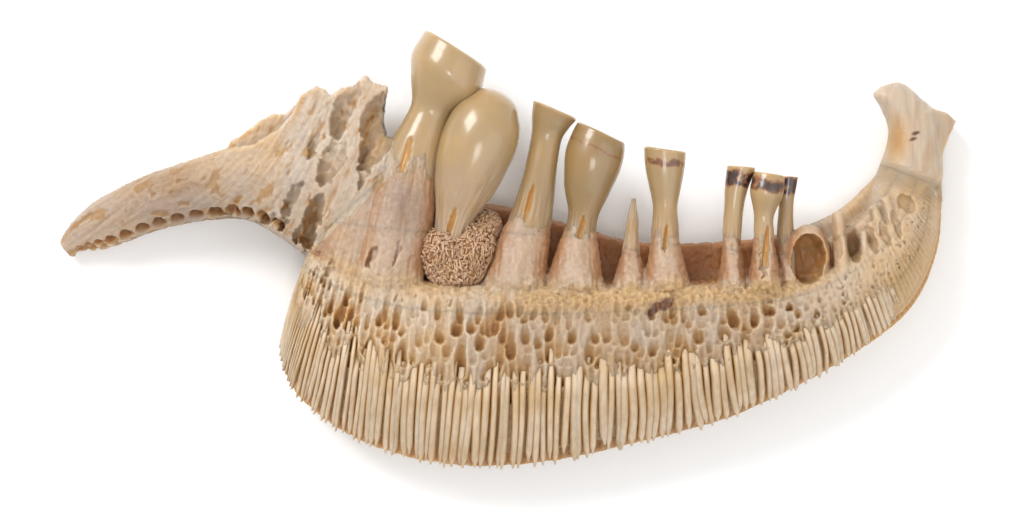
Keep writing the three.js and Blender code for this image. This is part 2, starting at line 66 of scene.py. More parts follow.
# The frame's origin lies below the middle of the bone; the places below are measured from the
# middle of the photograph, a little to its left. All of them are in millimetres.
ORIGIN = np.array([0.222, 0.033, 0.0])

# Stations of the arch from the heel to the dorsal end: the ridge that bears the teeth, the outer
# margin, and the top of the ledge behind the teeth.
RIDGE = np.array([
    (-13.4, 0.0), (-11.9, -0.8), (-9.6, -1.6), (-5.9, -2.3), (-1.3, -2.5), (3.7, -2.6), (8.7, -2.6),
    (13.7, -2.5), (18.4, -2.3), (22.1, -1.0), (24.7, 1.0), (26.1, 3.0), (26.9, 4.9),
])
MARGIN = np.array([
    (-15.4, -6.6), (-14.5, -9.4), (-11.4, -12.1), (-7.1, -13.9), (-2.1, -14.6), (3.3, -14.2), (9.0, -12.9),
    (14.6, -11.4), (19.8, -9.0), (23.9, -6.5), (27.2, -3.6), (28.8, 0.0), (29.2, 3.5),
])
LEDGE = np.array([
    (-12.7, 0.8), (-10.9, 1.0), (-8.3, 1.9), (-4.6, 3.0), (-0.6, 3.0), (4.1, 1.7), (8.7, 0.5),
    (13.7, 0.5), (18.4, 1.1), (21.9, 2.5), (23.9, 4.2), (25.0, 5.5), (25.5, 6.9),
])

# How long the ridge is, and how wide the wing is on average
LENGTH = 52.0
WIDTH = 11.5

# The body's section: a share of the way from the ridge (0) to the margin (1) or to the ledge's top
# (-1), and the height above the floor where the body is thickest. The points before LAST_FRONT are
# the front surface, with the teeth and the pits.
SECTION = np.array([
    (-1.0, 3.4), (-0.9, 4.2), (-0.6, 4.1), (-0.3, 4.1), (-0.12, 4.8), (-0.02, 8.0), (0.04, 9.0),
    (0.12, 9.45), (0.22, 9.7), (0.34, 9.8), (0.48, 9.6), (0.6, 9.1), (0.74, 8.0), (0.84, 6.8), (0.9, 5.8),
    (0.915, 5.0), (0.9, 4.0), (0.89, 3.2), (0.93, 2.9), (0.985, 2.8), (0.985, 2.3), (0.82, 1.5),
    (0.58, 0.35), (0.4, 0.0), (0.15, 0.5), (-0.3, 1.3), (-0.9, 2.0),
])
LAST_FRONT = 15

# The height towards which the heel's end rounds off
HEEL_LEVEL = 3.0

# Limbs and the web between the crest and the first tooth: place, half-width across, heights of the
# lowest and highest surface, and the way the width points, in degrees from X. A limb without that
# way is as wide square to its own line.
VENTRAL_LIMB = np.array([
    (-29.95, 0.0, 0.62, 0.3, 1.5), (-28.9, 0.75, 1.15, 0.0, 2.5), (-27.0, 1.8, 1.65, 0.0, 3.6),
    (-24.0, 3.1, 1.85, 0.2, 4.8), (-20.6, 4.0, 2.1, 0.6, 5.8), (-17.3, 4.5, 2.6, 0.7, 6.6),
    (-13.9, 4.0, 3.6, 0.6, 7.4), (-10.6, 2.6, 4.2, 0.5, 8.2), (-7.6, 0.7, 3.8, 0.6, 8.6),
])
DORSAL_LIMB = np.array([
    (24.6, 0.6, 2.4, 0.6, 5.6, 50), (26.2, 2.4, 3.0, 0.2, 6.2, 40), (26.7, 4.2, 2.6, 0.0, 5.9, 15),
    (27.15, 6.4, 1.9, 0.0, 5.35, 0), (27.2, 8.1, 1.65, 0.3, 4.85, 0), (26.7, 9.5, 1.68, 0.9, 4.5, 0),
    (26.05, 10.3, 1.55, 1.4, 4.3, -3), (25.75, 10.8, 1.05, 1.8, 4.0, 8), (25.6, 11.1, 0.55, 2.2, 3.6, 15),
])
WEB = np.array([
    (-9.8, -3.6, 2.6, 3.0, 8.0, 0), (-10.1, -1.0, 2.6, 3.0, 8.3, -6), (-9.8, 2.4, 2.8, 3.0, 8.3, -12),
    (-8.6, 5.2, 1.7, 3.0, 8.1, -16), (-7.8, 7.4, 0.9, 3.4, 7.6, -18),
])

# Plates: an outline, the lowest and highest surface, and how much the top rises for each step in X.
CREST = dict(low=3.2, high=6.6, rise=0.13, outline=[
    (-19.2, 4.6), (-18.7, 6.6), (-16.9, 7.0), (-15.3, 8.0), (-14.3, 9.2), (-13.9, 10.2), (-12.8, 10.85),
    (-12.3, 10.6), (-11.9, 10.15), (-11.1, 10.75), (-10.3, 10.85), (-9.5, 11.6), (-9.15, 11.1),
    (-8.1, 10.8), (-8.35, 9.5), (-8.4, 8.4), (-8.05, 6.8), (-7.5, 5.4), (-8.0, 1.0), (-13.2, -0.2),
    (-14.6, 2.6), (-17.3, 3.4),
])
FLANGE = dict(low=2.4, high=4.6, rise=0.0, outline=[
    (-19.4, 5.6), (-18.75, 6.8), (-18.6, 7.2), (-17.9, 7.55), (-16.6, 8.6), (-15.7, 9.0), (-14.9, 9.0),
    (-14.0, 9.9), (-12.9, 9.9), (-13.0, 5.0), (-17.0, 4.2),
])
SPUR = dict(low=0.9, high=3.7, rise=-0.8, outline=[
    (28.2, 9.5), (28.95, 9.3), (29.5, 9.15), (30.1, 8.6), (29.55, 7.5), (29.15, 6.4), (29.05, 4.6),
    (29.2, 3.2), (28.4, 2.6), (27.4, 4.0), (27.4, 8.6),
])

# What a tooth has unless its own line says otherwise: its depth as a share of its width, a worn top,
# no slit, no dark band, and no duller tone than the rest. A slit is given by its place, half-length
# and half-width, and a dark band by its distance below the top, its reach and its strength.
TOOTH = dict(deep=0.95, top="worn", slit=None, stain=None, dull=0.0)

# Teeth, each by the height of its axis and by stations from its root up: place, half-width and the
# lean of its section in degrees.
TEETH = [
    dict(TOOTH, name="tooth_1", z=6.9, slit=(-6.8, 6.2, 1.3, 0.22), stations=[
        (-8.4, -3.4, 2.3, -8), (-7.9, -0.6, 2.1, -10), (-7.0, 3.3, 2.2, -14), (-6.2, 6.6, 1.78, -17),
        (-5.6, 8.1, 1.5, -19), (-5.05, 9.4, 1.47, -21), (-4.4, 10.7, 2.3, -25), (-4.15, 11.7, 2.66, -29),
        (-3.75, 12.7, 2.55, -32), (-3.55, 13.2, 2.46, -33)]),
    dict(TOOTH, name="tooth_2", z=7.4, top="dome", slit=(-3.85, 1.55, 1.3, 0.2), stations=[
        (-4.2, -0.6, 1.2, -12), (-3.9, 0.9, 1.1, -12), (-3.6, 2.3, 1.35, -14), (-3.2, 3.7, 1.85, -16),
        (-2.6, 5.5, 2.35, -19), (-1.9, 7.3, 2.55, -22), (-1.3, 8.8, 2.3, -26), (-0.85, 9.8, 1.65, -28)]),
    dict(TOOTH, name="tooth_3", z=7.0, slit=(1.35, 3.1, 1.3, 0.15), dull=0.6, stations=[
        (0.2, -3.4, 1.9, -8), (0.6, -1.4, 1.7, -10), (1.15, 0.9, 1.55, -12), (1.6, 2.4, 1.3, -13),
        (1.95, 4.2, 1.12, -14), (2.25, 5.8, 1.05, -16), (2.5, 7.5, 1.03, -18), (2.75, 8.5, 1.3, -22),
        (3.05, 9.2, 1.53, -24)]),
    dict(TOOTH, name="tooth_4", z=7.1, deep=0.92, slit=(4.8, 1.3, 0.95, 0.16), stain=(1.1, 0.1, 0.45),
         dull=0.9, stations=[
        (4.4, -3.5, 1.9, -6), (4.5, -1.3, 1.5, -8), (4.75, 0.9, 1.15, -10), (4.95, 2.3, 0.98, -12),
        (5.2, 4.0, 1.55, -14), (5.55, 5.7, 1.9, -17), (5.95, 7.0, 1.85, -21), (6.15, 7.65, 1.72, -24)]),
    dict(TOOTH, name="tooth_5", z=6.6, deep=1.0, stations=[
        (8.1, -3.2, 1.2, 0), (8.1, -1.6, 0.9, 0), (8.15, -0.2, 0.6, 0), (8.2, 0.9, 0.42, 0),
        (8.25, 2.0, 0.36, 0), (8.3, 2.9, 0.2, 0), (8.32, 3.35, 0.12, 0)]),
    dict(TOOTH, name="tooth_6", z=7.0, slit=(10.4, 0.7, 0.95, 0.14), stain=(0.8, 0.24, 0.65),
         dull=0.2, stations=[
        (10.5, -3.4, 1.5, -4), (10.5, -1.3, 1.2, -4), (10.4, 0.9, 0.93, -5), (10.4, 2.6, 0.82, -5),
        (10.4, 4.1, 1.08, -6), (10.4, 5.6, 1.3, -7), (10.43, 6.55, 1.38, -7)]),
    dict(TOOTH, name="tooth_8", z=6.9, deep=1.0, stain=(0.8, 0.5, 1.2), stations=[
        (15.0, -3.4, 1.0, -4), (14.9, -1.3, 0.72, -4), (14.85, 0.8, 0.6, -4), (14.95, 2.4, 0.62, -5),
        (15.15, 4.0, 0.8, -6), (15.35, 5.0, 0.92, -7), (15.43, 5.45, 0.95, -7)]),
    dict(TOOTH, name="tooth_9", z=7.5, deep=1.0, slit=(17.0, -0.3, 1.9, 0.2), stain=(0.7, 0.45, 0.78),
         stations=[
        (17.0, -3.3, 1.1, -4), (17.0, -1.2, 0.85, -4), (16.95, 0.9, 0.66, -4), (16.95, 2.2, 0.64, -5),
        (17.1, 3.6, 1.12, -7), (17.25, 4.5, 1.1, -8), (17.32, 4.95, 1.02, -9)]),
    dict(TOOTH, name="tooth_10", z=6.1, deep=1.0, stain=(0.6, 0.6, 1.2), stations=[
        (18.85, -3.0, 0.85, 0), (18.6, -1.0, 0.66, 0), (18.45, 1.2, 0.52, 0), (18.5, 3.0, 0.5, -2),
        (18.62, 4.2, 0.58, -3), (18.7, 4.8, 0.6, -3)]),
]

# Broken bases of the small upper teeth: base, tip, half-width, height of the middle and half-depth.
LAMELLAE = [
    ((22.2, -1.6), (21.9, 2.5), 0.45, 6.6, 1.1),
    ((23.8, -1.2), (23.6, 1.2), 0.28, 6.4, 1.0),
    ((24.6, -0.8), (24.1, 1.8), 0.32, 6.0, 1.0),
    ((25.3, -0.2), (24.3, 2.9), 0.38, 5.7, 1.1),
    ((26.0, 0.6), (25.1, 3.5), 0.45, 5.4, 1.1),
    ((27.0, 2.2), (26.3, 4.5), 0.45, 5.1, 0.9),
]

# The spongy bone round the roots of the second tooth, as balls: middle and half-sizes.
SPONGY_ROOTS = [((-4.5, -0.2, 6.9), (1.75, 1.9, 2.3)), ((-2.4, 0.0, 6.8), (1.7, 2.0, 2.3)),
                ((-1.6, 1.5, 6.0), (1.2, 1.2, 1.7)), ((-3.5, -1.4, 7.0), (2.1, 1.4, 2.15))]
STRUT_COUNT = 3400

# The raised rim of the empty socket: middle and half-sizes.
SOCKET_RIM = ((19.95, -0.5, 6.4), (1.5, 2.15, 2.5))

# Honeycomb cells in the ventral limb's lower flank: for each row the angle round the limb's section,
# the half-sizes of a cell and its depth.
CELL_COUNT = 14
CELL_ROWS = [(8, (0.52, 0.5, 0.5), 0.5), (42, (0.5, 0.55, 0.55), 0.55), (-20, (0.42, 0.5, 0.4), 0.3)]

# Empty sockets and torn hollows: place, half-width, half-length, depth, turn in degrees, and how
# much deeper the lower end is than the upper one.
HOLLOWS = [
    (-8.7, 8.0, 1.15, 2.3, 1.9, -6, 0.5), (-9.3, 6.4, 0.7, 1.4, 2.2, -14, 0.6),
    (-9.6, 5.0, 0.35, 1.0, 0.9, -14, 0.6), (-11.15, 8.9, 0.6, 1.9, 1.7, -15, 0.8),
    (-10.5, 10.0, 0.5, 1.2, 0.9, -18, 0.5), (-12.0, 5.6, 0.62, 1.6, 1.5, -16, 0.8),
    (-11.2, 6.2, 0.4, 1.2, 0.9, -14, 0.8), (-13.0, 6.9, 0.33, 0.95, 0.9, -18, 0.8),
    (-13.05, 1.9, 0.62, 2.0, 2.4, -17, 0.7), (-14.4, 3.4, 0.4, 1.5, 1.2, -30, 0.7),
    (-14.9, 1.75, 0.33, 0.7, 1.2, -35, 0.5), (-14.0, 1.1, 0.35, 0.55, 1.4, -25, 0.4),
    (-13.5, -0.25, 0.3, 0.5, 1.0, -15, 0.4), (-16.3, 1.95, 0.4, 0.8, 1.1, -60, 0.3),
    (-17.9, 2.1, 0.38, 0.9, 0.9, -70, 0.3), (-19.4, 2.2, 0.3, 0.8, 0.8, -75, 0.3),
    (-9.1, -0.55, 0.28, 0.75, 0.9, -30, 0.7), (-11.8, -1.3, 0.35, 0.5, 0.6, -20, 0.6),
    (-7.4, -0.3, 0.22, 0.9, 0.5, -15, 0.6), (19.9, -0.6, 1.15, 1.7, 3.4, 0, 0.2),
    (22.95, 0.3, 0.45, 1.3, 1.5, 8, 0.6), (21.9, 0.1, 0.3, 0.8, 0.5, 4, 0.6),
    (24.2, 0.6, 0.3, 1.0, 0.8, 14, 0.6), (25.0, 1.0, 0.28, 0.9, 0.7, 18, 0.6),
    (25.8, 1.7, 0.26, 1.0, 0.7, 16, 0.6), (26.5, 3.05, 0.5, 0.75, 0.6, 45, 0.4),
]

# Where the limbs are parted from the arch: the ventral cut's X read by Y, above the heel, and the
# dorsal cut's Y read by X.
VENTRAL_CUT = ([-2.3, 4.9, 8.8], [-15.9, -8.2, -7.8])
DORSAL_CUT = ([23.6, 31.0], [6.2, 3.4])

# The brown stain below the sixth tooth, the two dark marks on the dorsal limb, and the patch of
# painted shade that greys the bone beside the first tooth
STAIN_AT = (10.0, -3.75)
LIMB_MARKS = ((27.2, 7.75), (27.0, 7.35))
SHADED_STEM = (-6.9, 3.0)

# Each piece of the bone's skin with its node and slot, in the order of BoneSkin.region's numbers
REGIONS = [
    ("tooth_ridge", "tooth_row", "body_bone"), ("arch_body", "pitted_body", "body_bone"),
    ("wing_bed", "ribbed_wing", "wing_bone"), ("ventral_limb_bone", "ventral_limb", "ventral_bone"),
    ("dorsal_limb_bone", "dorsal_limb", "dorsal_bone"), ("rear_ledge", "tooth_row", "body_bone"),
]

# Lamps: place, size and power in watts. They stand in metres, as the camera does, which looks down at
# a plane a little below the crowns.
LAMPS = {
    "key": ((-0.15, 0.18, 0.24), 0.14, 0.78),
    "fill": ((0.2, -0.1, 0.3), 0.35, 0.4),
    "front": ((0.0, -0.06, 0.38), 0.08, 0.2),
}
SKY_STRENGTH = 0.72
CAMERA_AT = (0.00045, -0.00055)
PICTURE_PLANE = 0.006


def linear(hex_colour):
    """An sRGB hex colour as the linear colour a shader takes."""
    srgb = [int(hex_colour[i:i + 2], 16) / 255 for i in (1, 3, 5)]
    channels = [c / 12.92 if c <= 0.04045 else ((c + 0.055) / 1.055) ** 2.4 for c in srgb]
    return (*channels, 1.0)


def smooth(x):
    x = np.clip(x, 0.0, 1.0)
    return x * x * (3 - 2 * x)


def round_patch(p, at, wide, tall):
    """A soft round patch seen from above, 1 at its middle."""
    return np.exp(-((p[:, 0] - at[0]) / wide) ** 2 - ((p[:, 1] - at[1]) / tall) ** 2)


def unit(vectors):
    return vectors / np.linalg.norm(vectors, axis=-1, keepdims=True)


def spline(points, t):
    """Catmull-Rom curve through evenly spaced points, read at shares t from 0 to 1."""
    points = np.asarray(points, float)
    ends = np.vstack([2 * points[0] - points[1], points, 2 * points[-1] - points[-2]])
    place = np.clip(t, 0, 1) * (len(points) - 1)
    i = np.minimum(place.astype(int), len(points) - 2)
    u = (place - i)[..., None]
    a, b, c, d = ends[i], ends[i + 1], ends[i + 2], ends[i + 3]
    cubic = (2 * a - 5 * b + 4 * c - d) * u**2 + (3 * b - a - 3 * c + d) * u**3
    return 0.5 * (2 * b + (c - a) * u + cubic)


def lattice(cells, seed):
    """A repeatable random number from 0 to 1 for each whole-number cell."""
    mixed = np.sin(cells @ np.array([127.1, 311.7, 74.7]) + seed * 13.37) * 43758.5453
    return mixed - np.floor(mixed)


def value_noise(p, seed=0):
    """Smooth noise from 0 to 1 at points p, with one bump per unit."""
    base = np.floor(p)
    part = p - base
    part = part * part * (3 - 2 * part)
    total = 0.0
    for corner in np.ndindex(2, 2, 2):
        corner = np.array(corner)
        weight = np.prod(np.where(corner, part, 1 - part), axis=1)
        total = total + weight * lattice(base + corner, seed)
    return total


def ridged(p, seed):
    """Noise that rises to sharp ridges, from 0 in its valleys to 1."""
    return 1 - np.abs(2 * value_noise(p, seed) - 1)


def fibres_beside_crest(p):
    """Across and along the bone's fibres on the ventral limb and crest, where they fan out."""
    turn = np.radians(np.interp(p[:, 0], [-30, -24, -18, -13.5, -10.5, -7.5], [36, 36, 50, 61, 67, 71]))
    x, y = p[:, 0] + 13, p[:, 1] - 4
    return x * np.sin(turn) - y * np.cos(turn), x * np.cos(turn) + y * np.sin(turn)


def body_scale(t):
    """How thick the body is along the arch, 1 where it is thickest."""
    return 1 - 0.27 * ((t - 0.4) / 0.5) ** 2 - 0.08 * smooth((t - 0.86) / 0.14)


def arch_point(t, share, height):
    """Points of the body for shares of its width and heights of its section."""
    ridge = spline(RIDGE, t)
    target = np.where((share < 0)[..., None], spline(LEDGE, t), spline(MARGIN, t))
    flat = ridge + (target - ridge) * np.abs(share)[..., None]
    heel = 0.55 + 0.45 * np.sqrt(1 - (1 - np.clip(t / 0.04, 0, 1)) ** 2)
    z = HEEL_LEVEL + (height * body_scale(t) - HEEL_LEVEL) * heel
    return np.concatenate([flat, z[..., None]], axis=-1)


def front_height(share):
    """Height of the front surface at a share of the way across."""
    return np.interp(share, SECTION[:LAST_FRONT, 0], SECTION[:LAST_FRONT, 1])


def arch_coordinates(p):
    """Where points lie on the arch, seen from above: the share along it and the share across."""
    steps = np.linspace(0, 1, 260)
    ridge = spline(RIDGE, steps)
    across = spline(MARGIN, steps) - ridge
    along = np.empty(len(p))
    share = np.empty(len(p))
    batch = 20000
    for start in range(0, len(p), batch):
        q = p[start:start + batch, None, :2] - ridge[None]
        side = q[..., 0] * across[:, 1] - q[..., 1] * across[:, 0]
        s = (q * across).sum(-1) / (across**2).sum(-1)
        off = np.abs(side) / np.linalg.norm(across, axis=-1)
        best = np.argmin(off + 4.0 * np.maximum(0, -s - 0.6), axis=1)
        rows = np.arange(len(best))
        low = np.clip(best - 1, 0, len(steps) - 1)
        high = np.clip(best + 1, 0, len(steps) - 1)
        a, b = side[rows, low], side[rows, high]
        between = np.where(np.abs(b - a) > 1e-9, np.clip(-a / (b - a + 1e-12), 0, 1), 0.5)
        along[start:start + len(best)] = steps[low] + (steps[high] - steps[low]) * between
        share[start:start + len(best)] = s[rows, low] + (s[rows, high] - s[rows, low]) * between
    return along, share


def grid_tube(rings):
    """A closed tube through rings of points, made from a grid whose sides are sewn together."""
    levels, spots = rings.shape[:2]
    bm = bmesh.new()
    bmesh.ops.create_grid(bm, x_segments=spots, y_segments=levels - 1, size=1.0)
    for v in bm.verts:
        column = round((v.co.x + 1) / 2 * spots) % spots
        row = round((v.co.y + 1) / 2 * (levels - 1))
        v.co = rings[row, column]
    bmesh.ops.remove_doubles(bm, verts=bm.verts, dist=1e-4)
    bmesh.ops.holes_fill(bm, edges=[e for e in bm.edges if e.is_boundary], sides=0)
    bmesh.ops.recalc_face_normals(bm, faces=bm.faces)
    return bm


def joined(parts):
    """One bmesh that holds all the parts."""
    whole = bmesh.new()
    for part in parts:
        mesh = bpy.data.meshes.new("part")
        part.to_mesh(mesh)
        part.free()
        whole.from_mesh(mesh)
        bpy.data.meshes.remove(mesh)
    return whole


def dress(piece, node, slot):
    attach(piece, "root")
    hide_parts(node)
    return piece


def place(name, bm, material, node, slot):
    """Puts a shape, modelled in millimetres, into the scene as a smooth piece on the root body."""
    bmesh.ops.transform(bm, matrix=Matrix.Scale(MM, 4) @ Matrix.Translation(ORIGIN), verts=bm.verts)
    mesh = bpy.data.meshes.new(name)
    bm.to_mesh(mesh)
    bm.free()
    mesh.shade_smooth()
    mesh.materials.append(material)
    piece = bpy.data.objects.new(name, mesh)
    bpy.context.scene.collection.objects.link(piece)
    return dress(piece, node, slot)


def points_of(mesh):
    p = np.empty(len(mesh.vertices) * 3)
    mesh.vertices.foreach_get("co", p)
    return p.reshape(-1, 3)


def normals_of(mesh):
    n = np.empty(len(mesh.vertices) * 3)
    mesh.vertex_normals.foreach_get("vector", n)
    return n.reshape(-1, 3)


def move_points(mesh, p):
    """Puts a mesh's points at places in millimetres."""
    mesh.vertices.foreach_set("co", ((p + ORIGIN) * MM).ravel())
    mesh.update()


def float_layer(mesh, name, values):
    layer = mesh.attributes.new(name, "FLOAT", "POINT")
    layer.data.foreach_set("value", np.asarray(values, np.float32))


def vector_layer(mesh, name, values):
    layer = mesh.attributes.new(name, "FLOAT_VECTOR", "POINT")
    layer.data.foreach_set("vector", np.asarray(values, np.float32).ravel())


def ellipse_rings(centres, across, half, depth, spots, power):
    """Rings round a line of centres, wide along across and deep along Z; a lower power squares them."""
    turn = np.linspace(0, 2 * np.pi, spots, endpoint=False)
    c, s = np.cos(turn), np.sin(turn)
    c = np.sign(c) * np.abs(c) ** power
    s = np.sign(s) * np.abs(s) ** power
    sideways = across[:, None, :] * (half[:, None] * c)[..., None]
    upright = np.array([0, 0, 1.0]) * (depth[:, None] * s)[..., None]
    return centres[:, None, :] + sideways + upright


# The bone's rough solids, which the remesh then fuses

def body_solid():
    """The arch's body, with a trough behind the teeth that closes towards both ends."""
    levels = 120
    section = spline(SECTION, np.linspace(0, 1, 90))
    t = np.linspace(0, 1, levels)[:, None] * np.ones(len(section))
    share = section[:, 0] * (1 + np.where(section[:, 0] > 0, 0.03, 0) * smooth((t - 0.7) / 0.1))
    height = np.ones((levels, 1)) * section[:, 1]
    open_trough = smooth((t - 0.12) / 0.12) * smooth((0.69 - t) / 0.06)
    floor_of_trough = (share < 0) & (share > -0.5) & (height > 3)
    height = np.where(floor_of_trough, height + (1 - open_trough) * np.maximum(0, 7.2 - height), height)
    rings = arch_point(t, share, height)
    middle = rings.mean(axis=1, keepdims=True)
    inner = middle + (rings - middle) * 0.75
    return grid_tube(np.concatenate([inner[:1], rings, inner[-1:]]))


def limb_solid(stations, levels):
    at = spline(stations, np.linspace(0, 1, levels))
    if at.shape[1] > 5:
        lean = np.radians(at[:, 5])
        across = np.column_stack([np.cos(lean), np.sin(lean), np.zeros(levels)])
    else:
        ahead = unit(np.gradient(at[:, :2], axis=0))
        across = np.column_stack([-ahead[:, 1], ahead[:, 0], np.zeros(levels)])
    middle = (at[:, 3] + at[:, 4]) / 2
    tall = (at[:, 4] - at[:, 3]) / 2
    centres = np.column_stack([at[:, :2], middle])
    return grid_tube(ellipse_rings(centres, across, at[:, 2], tall, 40, 0.8))


def plate_solid(plate):
    """A flat plate with an outline, whose top rises along X."""
    bm = bmesh.new()
    face = bm.faces.new([bm.verts.new((x, y, plate["low"])) for x, y in plate["outline"]])
    raised = bmesh.ops.extrude_face_region(bm, geom=[face])["geom"]
    middle = np.mean([x for x, y in plate["outline"]])
    for v in raised:
        if isinstance(v, bmesh.types.BMVert):
            v.co.z = plate["high"] + plate["rise"] * (v.co.x - middle)
    bmesh.ops.recalc_face_normals(bm, faces=bm.faces)
    return bm


def lamella_solid(base, tip, half, z, depth):
    """The broken base of a small tooth, wider and deeper at its base than at its tip."""
    levels = 9
    h = np.linspace(0, 1, levels)
    centres = np.column_stack([np.outer(1 - h, base) + np.outer(h, tip), np.full(levels, z)])
    ahead = unit(np.array(tip) - np.array(base))
    across = np.tile([ahead[1], -ahead[0], 0], (levels, 1))
    wide = half * (1.3 - 0.5 * h)
    deep = depth * (1.5 - 0.7 * h)
    return grid_tube(ellipse_rings(centres, across, wide, deep, 16, 0.8))


def tooth_rings(tooth, levels, spots, sink=0.0):
    """Rings of one tooth from its root to the rim of its top; sink thins the root."""
    at = spline(tooth["stations"], np.linspace(0, 1, levels))
    lean = np.radians(at[:, 3])
    across = np.column_stack([np.cos(lean), np.sin(lean), np.zeros(levels)])
    height = np.linspace(0, 1, levels)
    root = 1 - smooth(height / 0.42)
    swell = 2.1 * smooth((height + 0.08) / 0.18) * (1 - smooth(height / 0.5))
    swell = swell * (tooth["top"] == "worn")
    depth = ((at[:, 2] * tooth["deep"]) ** 5 + swell ** 5) ** 0.2 - sink * root
    depth = depth * (0.5 + 0.5 * smooth((height + 0.05) / 0.18))
    half = np.maximum(0.1, at[:, 2] - sink * root)
    centres = np.column_stack([at[:, :2], np.full(levels, tooth["z"])])
    return ellipse_rings(centres, across, half, depth, spots, 0.93)


def root_solid(tooth):
    """The bony pedestal that wraps the lower stem of a tooth and thins out up to its neck."""
    rings = tooth_rings(tooth, 40, 24)[:17]
    middle = rings.mean(axis=1, keepdims=True)
    wrap = np.interp(np.linspace(0, 1, len(rings)), [0, 0.4, 1], [0.5, 0.2, -0.2])[:, None, None]
    wrap = wrap * min(1, tooth["stations"][2][2] / 1.4)
    return grid_tube(rings + unit(rings - middle) * wrap)


def ball_solid(at, half, detail=24):
    bm = bmesh.new()
    bmesh.ops.create_uvsphere(bm, u_segments=detail, v_segments=detail // 2, radius=1)
    bmesh.ops.scale(bm, vec=half, verts=bm.verts)
    bmesh.ops.translate(bm, vec=at, verts=bm.verts)
    return bm


def modified(rough):
    """The mesh of an object with its modifiers, in place of the object."""
    graph = bpy.context.evaluated_depsgraph_get()
    mesh = bpy.data.meshes.new_from_object(rough.evaluated_get(graph))
    bpy.data.objects.remove(rough)
    return mesh


def fused_bone(voxel):
    """The bone's solids fused into one skin, as a mesh in millimetres."""
    limbs = ((VENTRAL_LIMB, 60), (DORSAL_LIMB, 40), (WEB, 30))
    solids = [body_solid()] + [limb_solid(stations, levels) for stations, levels in limbs]
    solids += [plate_solid(plate) for plate in (CREST, FLANGE, SPUR)]
    solids += [ball_solid(at, np.array(half) * 0.88) for at, half in SPONGY_ROOTS]
    solids.append(ball_solid(*SOCKET_RIM))
    solids += [root_solid(tooth) for tooth in TEETH if tooth["top"] == "worn"]
    solids += [lamella_solid(*lamella) for lamella in LAMELLAE]
    mesh = bpy.data.meshes.new("bone_rough")
    bm = joined(solids)
    bm.to_mesh(mesh)
    bm.free()
    rough = bpy.data.objects.new("bone_rough", mesh)
    bpy.context.scene.collection.objects.link(rough)
    remesh = rough.modifiers.new("fuse", "REMESH")
    remesh.mode = "VOXEL"
    remesh.voxel_size = voxel
    soften = rough.modifiers.new("soften", "SMOOTH")
    soften.factor = 0.6
    soften.iterations = 6
    return modified(rough)


def blended(mesh):
    """The mesh with its surface smoothed at the dorsal cut, so that the limb and the arch run together."""
    p = points_of(mesh)
    from_cut = np.abs((p[:, 0] - 27) * 0.36 + (p[:, 1] - 5.0) * 0.93)
    near = (from_cut < 1.5) & (p[:, 0] > 22) & (p[:, 2] > 2.5)
    rough = bpy.data.objects.new("bone_rough", mesh)
    bpy.context.scene.collection.objects.link(rough)
    group = rough.vertex_groups.new(name="near")
    group.add([int(i) for i in np.flatnonzero(near)], 1.0, "REPLACE")
    soften = rough.modifiers.new("blend", "SMOOTH")
    soften.vertex_group = group.name
    soften.factor = 0.5
    soften.iterations = 120
    smoothed = modified(rough)
    bpy.data.meshes.remove(mesh)
    return smoothed


# Relief cut into the fused bone

def teardrops(pits, u, v, near):
    """Depth at points of a set of teardrop pits, deepest at their lower, rounded ends."""
    depth = np.zeros(len(u))
    order = np.argsort(u)
    sorted_u = u[order]
    for centre_u, centre_v, wide, long, deep, skew in pits:
        first, last = np.searchsorted(sorted_u, (centre_u - wide - 0.6, centre_u + wide + 0.6))
        here = order[first:last]
        here = here[near[here]]
        q = (v[here] - centre_v) / long
        inside = np.abs(q) < 1
        here, q = here[inside], q[inside]
        bend = (u[here] - centre_u - skew * q) / (wide * (0.62 + 0.38 * q) * np.sqrt(1 - q * q) + 1e-3)
        inside = np.abs(bend) < 1
        here, q, bend = here[inside], q[inside], bend[inside]
        bowl = (1 - bend * bend) ** 0.55 * ((q + 1) / 2) ** 1.1 * np.clip((1 - q) / 0.16, 0, 1) ** 0.5
        depth[here] = np.maximum(depth[here], deep * bowl)
    return depth


def rib_places(pairs):
    """Where the ribs stand along the arch: pairs, unevenly wide, with a wider groove between them."""
    widths = 1 + 0.3 * np.sin(2.4 * np.arange(pairs))
    middles = (np.cumsum(widths) - widths / 2) / widths.sum()
    apart = widths / widths.sum() * 0.23
    return np.sort(np.concatenate([middles - apart, middles + apart]))


def pit_places(seed):
    """Staggered, uneven rows of pits over the pitted band, in millimetres along and across."""
    rng = np.random.default_rng(seed)
    pits = []
    for row, share in enumerate(np.linspace(0.02, 0.56, 12)):
        fine = share < 0.1
        pitch = 0.42 if fine else 0.66
        u = 0.4 + 0.5 * pitch * (row % 2)
        while u < LENGTH * 0.97:
            t = u / LENGTH
            edge = (1 - 0.5 * smooth(abs(share - 0.33) / 0.3 - 0.2)) * (1 - 0.6 * smooth((t - 0.6) / 0.2))
            big = (0.5 if fine else 1.12) * (1.2 - 0.35 * t) * edge
            size = rng.gamma(6.0, 1 / 6.0)
            wide = 0.34 * big * (0.55 + 0.45 * size)
            long = 0.85 * big * rng.uniform(0.6, 1.4) * (0.7 + 0.3 * size)
            deep = 0.55 * big * rng.uniform(0.3, 1.25) * size
            if rng.random() > 0.04 and not (t < 0.08 and share > 0.3):
                at = (u + rng.uniform(-0.2, 0.2), share * WIDTH + rng.uniform(-0.25, 0.25))
                pits.append((*at, wide, long, deep, rng.uniform(-0.14, 0.14)))
            u += pitch * rng.uniform(0.8, 1.2) * (1.08 - 0.25 * t)
    return pits


